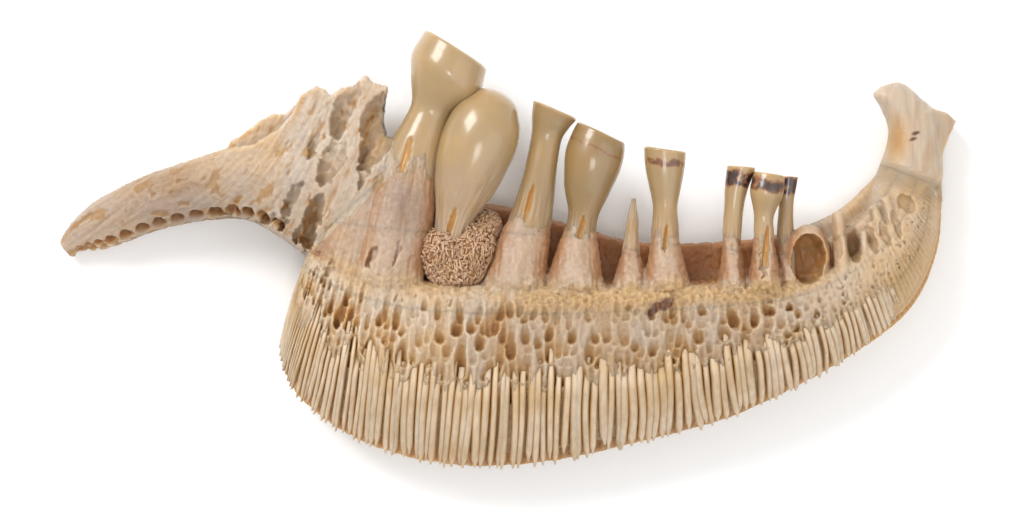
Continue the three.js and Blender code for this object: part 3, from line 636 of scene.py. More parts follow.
def hollow_depth(p, at_x, at_y, half, long, deep, turn, slope=0.0):
    """Depth at points of one oval hollow."""
    a = np.radians(turn)
    dx, dy = p[:, 0] - at_x, p[:, 1] - at_y
    u = dx * np.cos(a) + dy * np.sin(a)
    v = -dx * np.sin(a) + dy * np.cos(a)
    reach = 1 - (u / half) ** 2 - (v / long) ** 2
    return deep * (1 - slope * (v / long + 1) / 2) * np.sqrt(np.clip(reach, 0, 1)) ** 0.7


def cell_depth(p):
    """Depth at points of the rows of honeycomb cells in the ventral limb's lower flank."""
    depth = np.zeros(len(p))
    for row, (angle, half, deep) in enumerate(CELL_ROWS):
        t = 0.07 + 0.67 * (np.arange(CELL_COUNT) + 0.5 * (row % 2)) / CELL_COUNT
        at = spline(VENTRAL_LIMB, t)
        ahead = unit(spline(VENTRAL_LIMB, t + 0.01)[:, :2] - spline(VENTRAL_LIMB, t - 0.01)[:, :2])
        turn = np.radians(180 - angle)
        sideways = at[:, 2] * np.sign(np.cos(turn)) * abs(np.cos(turn)) ** 0.8
        upright = (at[:, 4] - at[:, 3]) / 2 * np.sign(np.sin(turn)) * abs(np.sin(turn)) ** 0.8
        spots = np.column_stack([at[:, 0] - ahead[:, 1] * sideways, at[:, 1] + ahead[:, 0] * sideways,
                                 (at[:, 3] + at[:, 4]) / 2 + upright])
        for spot in spots:
            reach = 1 - (((p - spot) / half) ** 2).sum(axis=1)
            depth = np.maximum(depth, deep * np.clip(reach * 1.6, 0, 1) ** 0.6)
    return depth


class BoneSkin:
    """The points of the fused bone: where each lies, how deep each form is cut there, and its tones."""

    def __init__(self, mesh):
        p = points_of(mesh)
        n = normals_of(mesh)
        self.mesh = mesh
        self.p = p
        self.n = n
        self.t, self.s = arch_coordinates(p)
        self.facing = smooth((n[:, 2] - 0.1) / 0.5)
        cut_x = np.interp(p[:, 1], *VENTRAL_CUT)
        self.right_end = p[:, 0] > 20
        self.past_cut = p[:, 1] - np.interp(p[:, 0], *DORSAL_CUT)
        self.left_of_cut = (p[:, 0] < cut_x) & (p[:, 1] > VENTRAL_CUT[0][0])
        self.above_cut = (self.past_cut > 0) & self.right_end
        self.late = smooth((self.t - 0.67) / 0.1) * ~self.above_cut
        self.limb_share = smooth((cut_x - p[:, 0]) / 2.5 + 0.7) * smooth((p[:, 1] + 3.2) / 1.5)
        self.on_arch = ~self.above_cut & (self.limb_share < 0.5)

    def hollows(self):
        """Depth of the sockets, torn hollows and slits, whose rims are ragged."""
        ragged = self.p.copy()
        torn = np.where(self.p[:, 0] > 18, 0.35, 1.0)
        ragged[:, 0] += (value_noise(self.p * 3.0, 21) - 0.5) * 0.35 * torn
        ragged[:, 1] += (value_noise(self.p * 2.4, 22) - 0.5) * 0.7 * torn
        slits = []
        for tooth in TEETH:
            if tooth["slit"]:
                x, y, long, half = tooth["slit"]
                slits.append((x, y, half + 0.1, long, 0.6, tooth["stations"][2][3] - 2))
        open_to_front = (self.n[:, 2] > 0.0) * (self.p[:, 2] > 3)
        depth = np.zeros(len(self.p))
        for entry in HOLLOWS + slits:
            depth = np.maximum(depth, hollow_depth(ragged, *entry) * open_to_front)
        return depth

    def fibres(self):
        """Fine ridges from 0 to 1 along the bone's grain, and that grain, both for the materials too."""
        p = self.p
        across, along = fibres_beside_crest(p)
        limb_grain = np.column_stack([across, along * 0.13, p[:, 2] * 0.2])
        arch_grain = np.column_stack([self.t * LENGTH, self.s * WIDTH * 0.13, p[:, 2] * 0.2])
        tip_grain = np.column_stack([p[:, 0] * 0.7, p[:, 1] * 0.1, p[:, 2] * 0.1])
        tip_share = smooth((self.past_cut + 1.5) / 2) * self.right_end
        arch_grain = arch_grain + (tip_grain - arch_grain) * tip_share[:, None]
        limb_fibre = 0.62 * ridged(limb_grain * 1.5, 31) + 0.38 * ridged(limb_grain * 3.6, 32)
        arch_fibre = 0.62 * ridged(arch_grain * 1.8, 33) + 0.38 * ridged(arch_grain * 4.2, 34)
        fibre = arch_fibre + (limb_fibre - arch_fibre) * self.limb_share
        return fibre, arch_grain + (limb_grain - arch_grain) * self.limb_share[:, None]

    def pores(self):
        """Depth of the small pores in the ventral limb and crest, drawn out along the fibres."""
        across, along = fibres_beside_crest(self.p)
        speckle = np.column_stack([across * 2.4, along * 1.1, self.p[:, 2] * 1.5])
        speckle += (value_noise(speckle * 1.7, 52)[:, None] - 0.5) * 1.2
        spots = smooth((value_noise(speckle, 51) - 0.62) / 0.22)
        return np.where(self.limb_share > 0.4, spots * 0.1, 0) * self.facing

    def cut(self, tones):
        """Cuts the pits, the ribs' bed, the hollows, the cells and the fibres into the mesh."""
        p, n, t, s = self.p, self.n, self.t, self.s
        pitted = self.on_arch & (s > 0.02) & (s < 0.72) & (n[:, 2] > 0.1)
        self.pit = teardrops(pit_places(tones.pit_seed), t * LENGTH, s * WIDTH, pitted) * self.facing
        rib_at = rib_places(tones.rib_count)
        between = 0.5 - 0.5 * np.cos(2 * np.pi * np.interp(t, rib_at, np.arange(len(rib_at))))
        self.groove = between * np.where(self.on_arch, smooth((s - 0.36) / 0.14), 0) * self.facing
        in_ribs = self.on_arch & (s > 0.45) & (p[:, 2] > 4.6)
        bed = np.where(in_ribs, 0.26 * smooth((s - 0.46) / 0.2), 0) * self.facing * smooth((0.87 - t) / 0.12)
        self.hollow = self.hollows()
        self.fibre, self.grain = self.fibres()
        self.pore = self.pores()
        self.comb = cell_depth(p) * self.limb_share * smooth((-n[:, 1] - 0.05) / 0.3)

        self.yellow_zone = (0.3 + 0.7 * smooth((p[:, 0] + 1) / 5)) * smooth((0.76 - t) / 0.12)
        crumbly = 1 + 2.2 * np.exp(-((s - 0.04) / 0.09) ** 2) * self.on_arch * self.yellow_zone
        rough = ((value_noise(p * 3.5, 5) - 0.5) * 0.1 + (value_noise(p * 7, 6) - 0.5) * 0.07) * crumbly
        calm = 1 - 0.65 * smooth((self.past_cut + 2.4) / 2.4) * self.right_end
        calm = calm * (1 - 0.6 * self.late)
        ridge_height = (0.15 + 0.07 * self.limb_share) * calm * (0.35 + 0.65 * self.facing)
        relief = (self.fibre - 0.55) * ridge_height + rough * calm - self.comb
        p = p + n * relief[:, None]
        p[:, 2] -= self.pit + bed + self.hollow + self.pore + 0.14 * self.groove
        p[:, 2] = np.maximum(p[:, 2], 0.0)
        self.p = p
        move_points(self.mesh, p)

    def in_root(self):
        inside = np.zeros(len(self.p))
        for at, half in SPONGY_ROOTS:
            inside = np.maximum(inside, np.linalg.norm((self.p - at) / np.array(half), axis=1) < 1.0)
        return inside

    def shade(self):
        """Painted shade: deep in the trough behind the teeth, on the pedestals and most on their sides,
        which face the neighbouring teeth, and a faint brown towards the ventral limb's end.
        """
        p, t, s = self.p, self.t, self.s
        trough = self.on_arch & (s < 0.02) & (p[:, 2] > 2.5)
        shade = np.where(trough, smooth((8.6 - p[:, 2]) / 2.6) * np.exp(-((s + 0.25) / 0.5) ** 2), 0)
        shade = shade * smooth((s + 1.0) / 0.4) * (1 - self.in_root()) * smooth((0.74 - t) / 0.08)
        pedestal = smooth(-s / 0.1) * self.on_arch * (p[:, 2] > 5) * smooth((0.8 - t) / 0.1)
        side = smooth((np.abs(self.n[:, 0]) - 0.3) / 0.6)
        # Painted shade on the pedestals, strongest on their sides, which face the neighbouring teeth
        shade = np.maximum(shade, pedestal * (0.28 + 0.5 * side))
        shade = np.maximum(shade, 0.1 * self.limb_share * smooth((p[:, 0] + 19) / -3))
        return np.clip(shade, 0, 1)

    def cavity(self):
        """How deep a point lies in a pit, socket, slot, cell, pore or valley between fibres, and on the root
        under its struts: painted shade, golden where shallow and brown where deep.
        """
        p = self.p
        slot = self.on_arch & (self.s > 0.86) & (p[:, 2] < 5.4)
        cavity = 0.85 * smooth((self.pit - 0.06) / 0.7) + 0.3 * slot + 0.3 * self.groove
        cavity += (0.45 - 0.15 * self.left_of_cut) * smooth(self.hollow / 1.6)
        cavity += 0.45 * smooth((self.hollow - 1.2) / 1.5) * self.late
        # The bone's own orange patch on the dorsal limb, not shade
        cavity += 0.55 * round_patch(p, (25.9, 7.3), 0.8, 1.1) * self.above_cut
        cavity += smooth((0.52 - self.fibre) / 0.4) * 0.4 * (1 - 0.6 * self.late)
        cavity += self.in_root() + 0.8 * smooth(self.comb / 0.4) + 4.0 * self.pore
        return np.clip(cavity, 0, 1)

    def stain(self):
        """The brown stain below the sixth tooth and the two dark marks on the dorsal limb."""
        p = self.p
        x, y = STAIN_AT
        across = (p[:, 0] - x) * 0.5 + (p[:, 1] - y) * -0.87
        along = (p[:, 0] - x) * 0.87 + (p[:, 1] - y) * 0.5
        spot = 1 - np.hypot(across / 0.42, along / 1.15) + (value_noise(p * 3, 71) - 0.5) * 0.9
        for x, y in LIMB_MARKS:
            away = np.hypot((p[:, 0] - x) / 0.3, (p[:, 1] - y - 0.3 * (p[:, 0] - x)) / 0.17)
            spot = np.maximum(spot, 1 - away + (value_noise(p * 5, 72) - 0.5) * 0.6)
        return 0.9 * smooth(spot / 0.35) * ((p[:, 2] > 6) | self.above_cut)

    def dull(self):
        """Painted shade that greys broad stretches: the ventral limb, the pitted band's right half and
        beside the first tooth.
        """
        p = self.p
        limb = np.where(self.left_of_cut, 0.5 + 0.5 * np.exp(-((p[:, 0] + 22) / 3) ** 2), 0)
        limb = limb * smooth((7.2 - p[:, 1]) / 3)
        band = 0.5 * self.on_arch * smooth((p[:, 0] + 6) / 6) * smooth(self.s / 0.12)
        band = band * smooth((0.8 - self.t) / 0.2)
        stem = round_patch(p, SHADED_STEM, 1.3, 2.2) * ~self.left_of_cut
        return np.clip(limb + band + stem, 0, 1)

    def fat(self):
        """How yellow old fat has made the bone: most along the teeth's feet and on the dorsal limb."""
        p, s = self.p, self.s
        arch = 0.18 + 0.5 * np.exp(-((s - 0.06) / 0.1) ** 2) * self.yellow_zone
        arch = arch + 0.15 * smooth((s - 0.45) / 0.2) - 0.15 * smooth(-s / 0.1)
        arch = arch + 0.25 * self.late + 0.5 * round_patch(p, (25.8, 7.3), 0.9, 1.2) + 0.1 * self.above_cut
        limb = 0.3 * smooth((p[:, 1] - 2.6) / 1.5) * (p[:, 0] < -15)
        return np.where(self.on_arch | self.above_cut, arch, limb)

    def region(self):
        s = self.s
        return np.select([self.left_of_cut, self.above_cut, s < -0.3, s < 0.14, s < 0.6], [3, 4, 5, 0, 1], 2)


def parted(context, mesh, region, material):
    """Parts the bone's skin by region into pieces that keep the whole skin's normals at their edges."""
    vector_layer(mesh, "whole_normal", normals_of(mesh))
    corner_vertex = np.empty(len(mesh.loops), int)
    mesh.loops.foreach_get("vertex_index", corner_vertex)
    first_corner = np.empty(len(mesh.polygons), int)
    mesh.polygons.foreach_get("loop_start", first_corner)
    for name, node, slot in REGIONS:
        stand_in = material.copy()
        stand_in.name = name
        mesh.materials.append(stand_in)
    mesh.polygons.foreach_set("material_index", region[corner_vertex[first_corner]].astype(np.int32))
    mesh.shade_smooth()
    whole = bpy.data.objects.new("bone", mesh)
    context.scene.collection.objects.link(whole)
    for other in context.view_layer.objects:
        other.select_set(False)
    whole.select_set(True)
    context.view_layer.objects.active = whole
    bpy.ops.object.mode_set(mode="EDIT")
    bpy.ops.mesh.select_all(action="SELECT")
    bpy.ops.mesh.separate(type="MATERIAL")
    bpy.ops.object.mode_set(mode="OBJECT")
    named = {name: (node, slot) for name, node, slot in REGIONS}
    for piece in list(context.selected_objects):
        name = piece.data.materials[0].name
        piece.data.materials.clear()
        piece.data.materials.append(material)
        piece.name = name
        piece.data.name = name
        normals = np.empty(len(piece.data.vertices) * 3)
        piece.data.attributes["whole_normal"].data.foreach_get("vector", normals)
        piece.data.normals_split_custom_set_from_vertices(normals.reshape(-1, 3))
        piece.data.attributes.remove(piece.data.attributes["whole_normal"])
        dress(piece, *named[name])
    for name in named:
        bpy.data.materials.remove(bpy.data.materials[name])


def tone(name, description, hex_colour):
    """A colour that the sidebar can change."""
    return bpy.props.FloatVectorProperty(
        name=name, description=description, default=linear(hex_colour),
        subtype="COLOR", size=4, min=0, max=1)


class PHARYNX_PG_bone(bpy.types.PropertyGroup):
    voxel: bpy.props.FloatProperty(
        name="Grain of the skin", description="Size of the skin's mesh in millimetres",
        default=0.1, min=0.05)
    pit_seed: bpy.props.IntProperty(name="Pit seed", description="Which scatter of pits", default=4)
    rib_count: bpy.props.IntProperty(
        name="Pairs of ribs", description="Pairs of ribs along the wing", default=66, min=10)
    rib_seed: bpy.props.IntProperty(name="Rib seed", description="Which unevenness of ribs", default=11)
    rib_pale: tone("Pale ribs", "Colour of the ribs' worn crests", "#d3bda2")
    bone_pale: tone("Pale bone", "Colour of dense bone", "#bcad9c")
    bone_warm: tone("Warm bone", "Colour of bone that old fat has yellowed", "#bd9d70")
    bone_streak: tone("Streaks", "Tint of the darker fibres", "#b79a78")
    # Painted shade: the golden and brown tones laid into pits and recesses by their depth
    bone_gold: tone("Golden bone", "Colour of shallow pits, where walls are thin", "#b08a58")
    bone_deep: tone("Deep bone", "Colour in pits and sockets", "#a07040")
    # Painted shade: the brown laid into the trough and on the pedestals' sides
    bone_shade_brown: tone("Dark bone", "Colour of the trough and of the pedestals' sides", "#9c6634")
    bone_stain: tone("Stain", "Colour of the brown stain and the dark marks", "#5c2d12")
    # Painted shade: the grey laid over broad stretches of the bone
    bone_shade_grey: tone("Dull bone", "Tint of the greyer bone", "#d6d2d2")


class PHARYNX_PG_teeth(bpy.types.PropertyGroup):
    crown: tone("Crown", "Colour of the crowns", "#a1875f")
    stem: tone("Stem", "Colour of the stems", "#a68f76")
    cloud: tone("Cloud", "Colour of the warmer clouds in the dentine", "#b4915f")
    slit: tone("Slit", "Colour inside the slits", "#bf8a3e")
    dull: tone("Dull tooth", "Tint of a duller tooth", "#d9d2bd")
    rust: tone("Rust", "Colour of the dark band's edge", "#87552f")
    stain: tone("Stain", "Colour of the dark band below a worn face", "#38211a")


class PHARYNX_PG_root(bpy.types.PropertyGroup):
    pale: tone("Pale struts", "Colour of the paler struts", "#d9af8a")
    tan: tone("Tan struts", "Colour of the darker struts", "#c5986e")
    seed: bpy.props.IntProperty(name="Strut seed", description="Which tangle of struts", default=5)


class PHARYNX_PG_stage(bpy.types.PropertyGroup):
    lens: bpy.props.FloatProperty(
        name="Lens", description="Focal length in millimetres", default=200, min=20)
    frame_width: bpy.props.FloatProperty(
        name="Frame width", description="Width of the picture at the bone", default=0.06827, unit="LENGTH")
    floor: tone("Floor", "Colour of the floor", "#fbfbfb")


def add_node(material, kind, settings=None, inputs=None):
    """Adds a shader node; an input may be a value or another node's output socket."""
    node = material.node_tree.nodes.new(kind)
    for key, value in (settings or {}).items():
        setattr(node, key, value)
    for key, value in (inputs or {}).items():
        if isinstance(value, bpy.types.NodeSocket):
            material.node_tree.links.new(value, node.inputs[key])
        else:
            node.inputs[key].default_value = value
    return node


def new_material(name):
    material = bpy.data.materials.new(name)
    material.use_nodes = True
    material.node_tree.nodes.clear()
    return material


def place_on(material):
    return add_node(material, "ShaderNodeTexCoord").outputs["Object"]


def layer(material, name, output="Fac"):
    return add_node(material, "ShaderNodeAttribute", {"attribute_name": name}).outputs[output]


def noise(material, at, scale, detail=2.0):
    inputs = {"Vector": at, "Scale": scale, "Detail": detail}
    return add_node(material, "ShaderNodeTexNoise", inputs=inputs).outputs["Fac"]


def ramp(material, value, low, high, least=0.0, most=1.0, curve="LINEAR"):
    """A value from low to high turned into one from least to most."""
    inputs = {"Value": value, "From Min": low, "From Max": high, "To Min": least, "To Max": most}
    return add_node(material, "ShaderNodeMapRange", {"interpolation_type": curve}, inputs).outputs[0]


def calculated(material, operation, *values):
    settings = {"operation": operation}
    return add_node(material, "ShaderNodeMath", settings, dict(enumerate(values))).outputs[0]


def mix(material, share, a, b, mode="MIX"):
    """Colour a turned towards colour b by a share."""
    share_in, a_in, b_in, colour_out = 0, 6, 7, 2
    settings = {"data_type": "RGBA", "blend_type": mode, "clamp_factor": True}
    node = add_node(material, "ShaderNodeMix", settings, {share_in: share, a_in: a, b_in: b})
    return node.outputs[colour_out]


def finish_material(material, colour, roughness, height, bump, subsurface, coat=0.0):
    """Ends a material with its shader: waxy light under the surface, and a coat where it is polished."""
    bumps = add_node(material, "ShaderNodeBump", inputs={"Distance": bump, "Height": height})
    bumps.inputs["Strength"].default_value = 1.0
    shader = add_node(material, "ShaderNodeBsdfPrincipled", inputs={
        "Base Color": colour, "Roughness": roughness, "Normal": bumps.outputs[0], "Coat Weight": coat})
    shader.inputs["Subsurface Weight"].default_value = subsurface
    shader.inputs["Subsurface Radius"].default_value = (1.0, 0.78, 0.55)
    shader.inputs["Subsurface Scale"].default_value = 1.4 * MM
    shader.inputs["Coat Roughness"].default_value = 0.15
    add_node(material, "ShaderNodeOutputMaterial", inputs={"Surface": shader.outputs[0]})
    return material


def bone_material(name="dry_bone", pale=None, subsurface=0.7):
    """Dry bone: pale and dense on its ridges, yellow with old fat in patches, with painted shade, golden to
    brown, in its pits.
    """
    tones = bpy.context.scene.pharynx_bone
    material = new_material(name)
    place_at = place_on(material)
    patches = noise(material, place_at, 0.33 / MM, 3.0)
    dust = noise(material, place_at, 6 / MM)
    fibres = noise(material, layer(material, "grain", "Vector"), 4.0, 4.0)
    cavity = layer(material, "cavity")
    fat = calculated(material, "MULTIPLY_ADD", patches, 1.1, layer(material, "fat"))
    fat = ramp(material, fat, 0.45, 1.25, curve="SMOOTHSTEP")
    # Dense bone is off-white, and fat that dried in it is straw yellow
    colour = mix(material, fat, tuple(pale or tones.bone_pale), tuple(tones.bone_warm))
    # Some fibres are darker than others and draw the grain
    streak = ramp(material, fibres, 0.35, 0.7, 0.0, 0.35)
    colour = mix(material, streak, colour, tuple(tones.bone_streak), "MULTIPLY")
    # Painted shade: pits, sockets, cells and fibre valleys turn golden near their rims and brown where they
    # are deep
    colour = mix(material, ramp(material, cavity, 0.0, 0.5), colour, tuple(tones.bone_gold))
    deep = ramp(material, cavity, 0.35, 1.0, curve="SMOOTHSTEP")
    colour = mix(material, deep, colour, tuple(tones.bone_deep))
    # Painted shade in the trough and on the pedestals' sides, the dark stains, and broad painted shade that
    # greys stretches of the bone
    colour = mix(material, layer(material, "shade"), colour, tuple(tones.bone_shade_brown))
    colour = mix(material, layer(material, "stain"), colour, tuple(tones.bone_stain))
    colour = mix(material, layer(material, "dull"), colour, tuple(tones.bone_shade_grey), "MULTIPLY")
    heights = calculated(material, "MULTIPLY_ADD", fibres, 2.0, dust)
    return finish_material(material, colour, 0.5, heights, 0.03 * MM, subsurface)


def crumbly_material():
    """New spongy bone round a root: dull and pinkish tan, darkened by the shadows between its struts."""
    tones = bpy.context.scene.pharynx_root
    material = new_material("crumbly_bone")
    place_at = place_on(material)
    share = ramp(material, noise(material, place_at, 0.7 / MM, 3.0), 0.35, 0.65)
    colour = mix(material, share, tuple(tones.pale), tuple(tones.tan))
    return finish_material(material, colour, 0.65, noise(material, place_at, 9 / MM), 0.02 * MM, 0.4)


def tooth_material():
    """Tooth: smooth, waxy crowns with a wet-looking gloss, on duller, fibrous stems."""
    tones = bpy.context.scene.pharynx_teeth
    material = new_material("tooth_dentine")
    place_at = place_on(material)
    crown = layer(material, "crown")
    fibres = noise(material, layer(material, "grain", "Vector"), 4.0, 4.0)
    # Dentine is amber in the crown, paler in the stem, and has warm clouds
    colour = mix(material, crown, tuple(tones.stem), tuple(tones.crown))
    clouds = ramp(material, noise(material, place_at, 0.42 / MM, 3.0), 0.4, 0.75, 0.0, 0.6)
    colour = mix(material, clouds, colour, tuple(tones.cloud))
    colour = mix(material, layer(material, "dull"), colour, tuple(tones.dull), "MULTIPLY")
    # The slits' golden colour, and painted shade in the stems' fibre valleys
    colour = mix(material, layer(material, "cavity"), colour, tuple(tones.slit))
    # The dark band is broken into specks, with rusty edges
    specks = ramp(material, noise(material, place_at, 1.9 / MM, 3.0), 0.3, 0.52)
    stain = calculated(material, "MULTIPLY", layer(material, "stain"), specks)
    colour = mix(material, ramp(material, stain, 0.1, 0.45), colour, tuple(tones.rust))
    colour = mix(material, ramp(material, stain, 0.45, 0.8), colour, tuple(tones.stain))
    # Crowns are polished by use, and stems keep their fibres
    gloss = ramp(material, crown, 0.3, 1.0, 0.0, 0.75)
    heights = calculated(material, "MULTIPLY", fibres, calculated(material, "SUBTRACT", 1.0, crown))
    return finish_material(material, colour, 0.4, heights, 0.06 * MM, 0.6, gloss)


class PHARYNX_OT_bone(bpy.types.Operator):
    """Fuses the body, limbs, crest and roots into one bone, cuts its relief and parts it by node"""
    bl_idname = "pharynx.bone"
    bl_label = "Bone"

    def execute(self, context):
        tones = context.scene.pharynx_bone
        mesh = blended(fused_bone(tones.voxel))
        skin = BoneSkin(mesh)
        skin.cut(tones)
        for name in ("stain", "shade", "dull", "cavity", "fat"):
            float_layer(mesh, name, getattr(skin, name)())
        vector_layer(mesh, "grain", skin.grain)
        parted(context, mesh, skin.region(), bone_material())
        return {"FINISHED"}


def rib_rings(t0, count, rng):
    """Rings of one rib from the pitted band down over the wing to its free tip."""
    start = 0.41 + rng.uniform(-0.1, 0.08) - 0.16 * smooth((0.14 - t0) / 0.1)
    end = 1.01 - abs(rng.normal(0, 0.025)) - 0.1 * smooth((t0 - 0.74) / 0.1)
    levels = 26
    h = np.linspace(0, 1, levels)
    share = start + (end - start) * h
    drift = value_noise(np.column_stack([np.full(levels, t0 * 16), h * 2.0, h * 0]), 12) - 0.5
    sway = rng.uniform(-0.15, 0.15) * np.sin(h * 4) + rng.uniform(-0.35, 0.35) * h ** 2 + 0.9 * drift * h
    t = np.clip(t0 + sway / count, 0, 1)
    surface = front_height(np.minimum(share, 0.88)) - np.maximum(0, share - 0.88) * 12
    centres = arch_point(t, share, surface)
    beside = arch_point(t + 0.5 / count, share, surface) - arch_point(t - 0.5 / count, share, surface)
    pitch = np.linalg.norm(beside, axis=1)
    fade = smooth((0.87 - t0) / 0.14) * (0.45 + 0.55 * smooth(t0 / 0.12))
    together = 0.5 + value_noise(np.array([[t0 * 22, 0.5, 0.5]]), 13)[0]
    rise = rng.uniform(0.08, 0.22) * together * fade * smooth(h / 0.4)
    rise = rise * (0.75 + 0.5 * value_noise(np.column_stack([h * 5, h * 0 + t0 * 900, h * 0]), 14))
    rise = rise * (1 - 0.5 * smooth((h - 0.85) / 0.15))
    taper = (0.8 + 0.2 * smooth(h / 0.3)) * (1 - 0.75 * smooth((h - 0.9) / 0.1))
    half = pitch * rng.uniform(0.44, 0.68) * taper
    centres[:, 2] -= 0.24 + 0.42 * (1 - smooth(h / 0.32))
    along = unit(np.gradient(centres, axis=0))
    step = unit(arch_point(t + 0.004, share, surface) - arch_point(t - 0.004, share, surface))
    up = np.cross(step, along)
    up *= np.sign(up[:, 2:3])
    turn = np.linspace(0, 2 * np.pi, 10, endpoint=False)
    c = np.sign(np.cos(turn)) * np.abs(np.cos(turn)) ** 0.8
    lift = np.where(np.sin(turn) > 0, 1, 0.6) * np.sin(turn)
    sideways = step[:, None] * (half[:, None] * c)[..., None]
    upright = up[:, None] * ((rise[:, None] + 0.1) * lift)[..., None]
    return centres[:, None] + sideways + upright


class PHARYNX_OT_ribs(bpy.types.Operator):
    """Lays the wing's fine ribs side by side, free at their tips like a comb"""
    bl_idname = "pharynx.ribs"
    bl_label = "Ribs"

    def execute(self, context):
        tones = context.scene.pharynx_bone
        rng = np.random.default_rng(tones.rib_seed)
        ribs = [grid_tube(rib_rings(t0, 2 * tones.rib_count, rng)) for t0 in rib_places(tones.rib_count)]
        worn = bone_material("worn_rib_bone", tones.rib_pale, 0.2)
        mesh = place("wing_ribs", joined(ribs), worn, "ribbed_wing", "wing_bone").data
        p = points_of(mesh) / MM - ORIGIN
        t, s = arch_coordinates(p)
        tangent = unit(arch_point(t + 0.004, s, s * 0) - arch_point(t - 0.004, s, s * 0))
        flank = np.abs((normals_of(mesh) * tangent).sum(axis=1))
        # Painted shade: the ribs' sides, which face their neighbours, take the pits' golden-brown
        float_layer(mesh, "cavity", 0.75 * smooth((flank - 0.45) / 0.5))
        float_layer(mesh, "fat", 0.3 * value_noise(p * 0.5, 8))
        vector_layer(mesh, "grain", np.column_stack([t * LENGTH, s * 1.7, p[:, 2] * 0.3]))
        return {"FINISHED"}


def topped(rings, tooth):
    """The rings of a tooth with those of its top: a new, domed one or a worn, nearly flat one."""
    top = rings[-1]
    centre = top.mean(axis=0)
    ahead = unit(centre - rings[-3].mean(axis=0))
    reach = ahead * tooth["stations"][-1][2]
    if tooth["top"] == "dome":
        first = 0.4
        turns = np.linspace(first, np.pi / 2, 14)[1:-1]
        extra = [centre + ((top - centre) * np.cos(a) + reach * 0.65 * (np.sin(a) - np.sin(first)))
                 / np.cos(first) for a in turns]
    else:
        worn_face = [(0.985, 0.03), (0.94, 0.06), (0.85, 0.07), (0.6, 0.05), (0.3, 0.03), (0.08, 0.02)]
        extra = [centre + (top - centre) * share + reach * rise for share, rise in worn_face]
    return np.concatenate([rings, np.array(extra)])


def finish_tooth(mesh, tooth, centre):
    """Cuts a tooth's fibres and slit, and gives its points their tones."""
    p = points_of(mesh) / MM - ORIGIN
    stations = np.array(tooth["stations"])
    base_y, top_y = stations[0, 1], stations[-1, 1]
    height = np.clip((p[:, 1] - base_y) / (top_y - base_y), 0, 1.1)
    has_crown = stations[-1, 2] > 0.3
    crown = smooth((height - 0.4) / 0.3) * has_crown
    around = np.arctan2(p[:, 2] - tooth["z"], p[:, 0] - np.interp(p[:, 1], stations[:, 1], stations[:, 0]))
    grain = np.column_stack([around * 2.2, p[:, 1] * 0.22, np.full(len(p), tooth["z"])])
    fibre = 0.6 * ridged(grain * 1.6, 81) + 0.4 * ridged(grain * 3.5, 82)
    swell = (value_noise(p * 0.55, 83) - 0.5) * 0.12
    p += normals_of(mesh) * ((fibre - 0.6) * 0.2 * (1 - crown) + swell)[:, None]
    band = np.zeros(len(p))
    if tooth["stain"]:
        below, reach, strength = tooth["stain"]
        from_top = centre[1] - p[:, 1] + (p[:, 0] - centre[0]) * np.tan(np.radians(stations[-1, 3]))
        wavy = from_top + (value_noise(p * 2.2, 61) - 0.5) * 0.35 + (value_noise(p * 7, 62) - 0.5) * 0.2
        band = np.exp(-((wavy - below) / reach) ** 4) * strength
    # Painted shade: the valleys between the stem's fibres take a little of the slit's colour
    cavity = smooth((0.5 - fibre) / 0.4) * 0.25 * (1 - crown)
    if tooth["slit"]:
        at_x, at_y, long, half = tooth["slit"]
        dent = hollow_depth(p, at_x, at_y, half, long, 0.3, stations[2, 3] - 2) * (p[:, 2] > tooth["z"])
        cavity = cavity + smooth(dent / 0.2) * 0.85
        p[:, 2] -= dent
    move_points(mesh, p)
    float_layer(mesh, "crown", crown)
    float_layer(mesh, "stain", band)
    float_layer(mesh, "dull", np.full(len(p), tooth["dull"]))
    float_layer(mesh, "cavity", cavity)
    vector_layer(mesh, "grain", grain)


class PHARYNX_OT_teeth(bpy.types.Operator):
    """Builds each tooth from its fibrous root to its worn or domed crown"""
    bl_idname = "pharynx.teeth"
    bl_label = "Teeth"

    def execute(self, context):
        material = tooth_material()
        for tooth in TEETH:
            rings = tooth_rings(tooth, 160, 96, 0.35 * (tooth["top"] == "worn"))
            piece = place(tooth["name"], grid_tube(topped(rings, tooth)), material, "tooth_row", "tooth")
            finish_tooth(piece.data, tooth, rings[-1].mean(axis=0))
        return {"FINISHED"}


def strut_rings(rng):
    """Rings of one crooked strut on a random ball of the root, or None where it would lie inside one."""
    at, half = SPONGY_ROOTS[rng.integers(len(SPONGY_ROOTS))]
    z = rng.uniform(0.0, 1.0)
    a = rng.uniform(0, 2 * np.pi)
    flat = np.sqrt(1 - z * z)
    start = np.array([flat * np.cos(a), flat * np.sin(a), z])
    low = start[1] < 0
    drift = rng.normal(0, [0.015, 0.06 if low else 0.025, 0.03])
    line = unit(start + np.cumsum(rng.normal(0, 0.026, (5, 3)) + drift, axis=0))
    line = at + line * half * (0.86 + 0.13 * rng.random())
    if any(np.linalg.norm((line[2] - b) / np.array(h)) < 0.84 for b, h in SPONGY_ROOTS):
        return None
    thick = rng.uniform(0.04, 0.075) * np.array([0.5, 1, 1.1, 1, 0.5])
    ahead = unit(np.gradient(line, axis=0))
    side = np.cross(ahead, [0, 0, 1.0])
    side /= np.linalg.norm(side, axis=1, keepdims=True) + 1e-9
    up = np.cross(side, ahead)
    turn = np.linspace(0, 2 * np.pi, 6, endpoint=False)
    round_it = side[:, None] * np.cos(turn)[None, :, None] + up[:, None] * np.sin(turn)[None, :, None]
    return line[:, None] + round_it * thick[:, None, None]


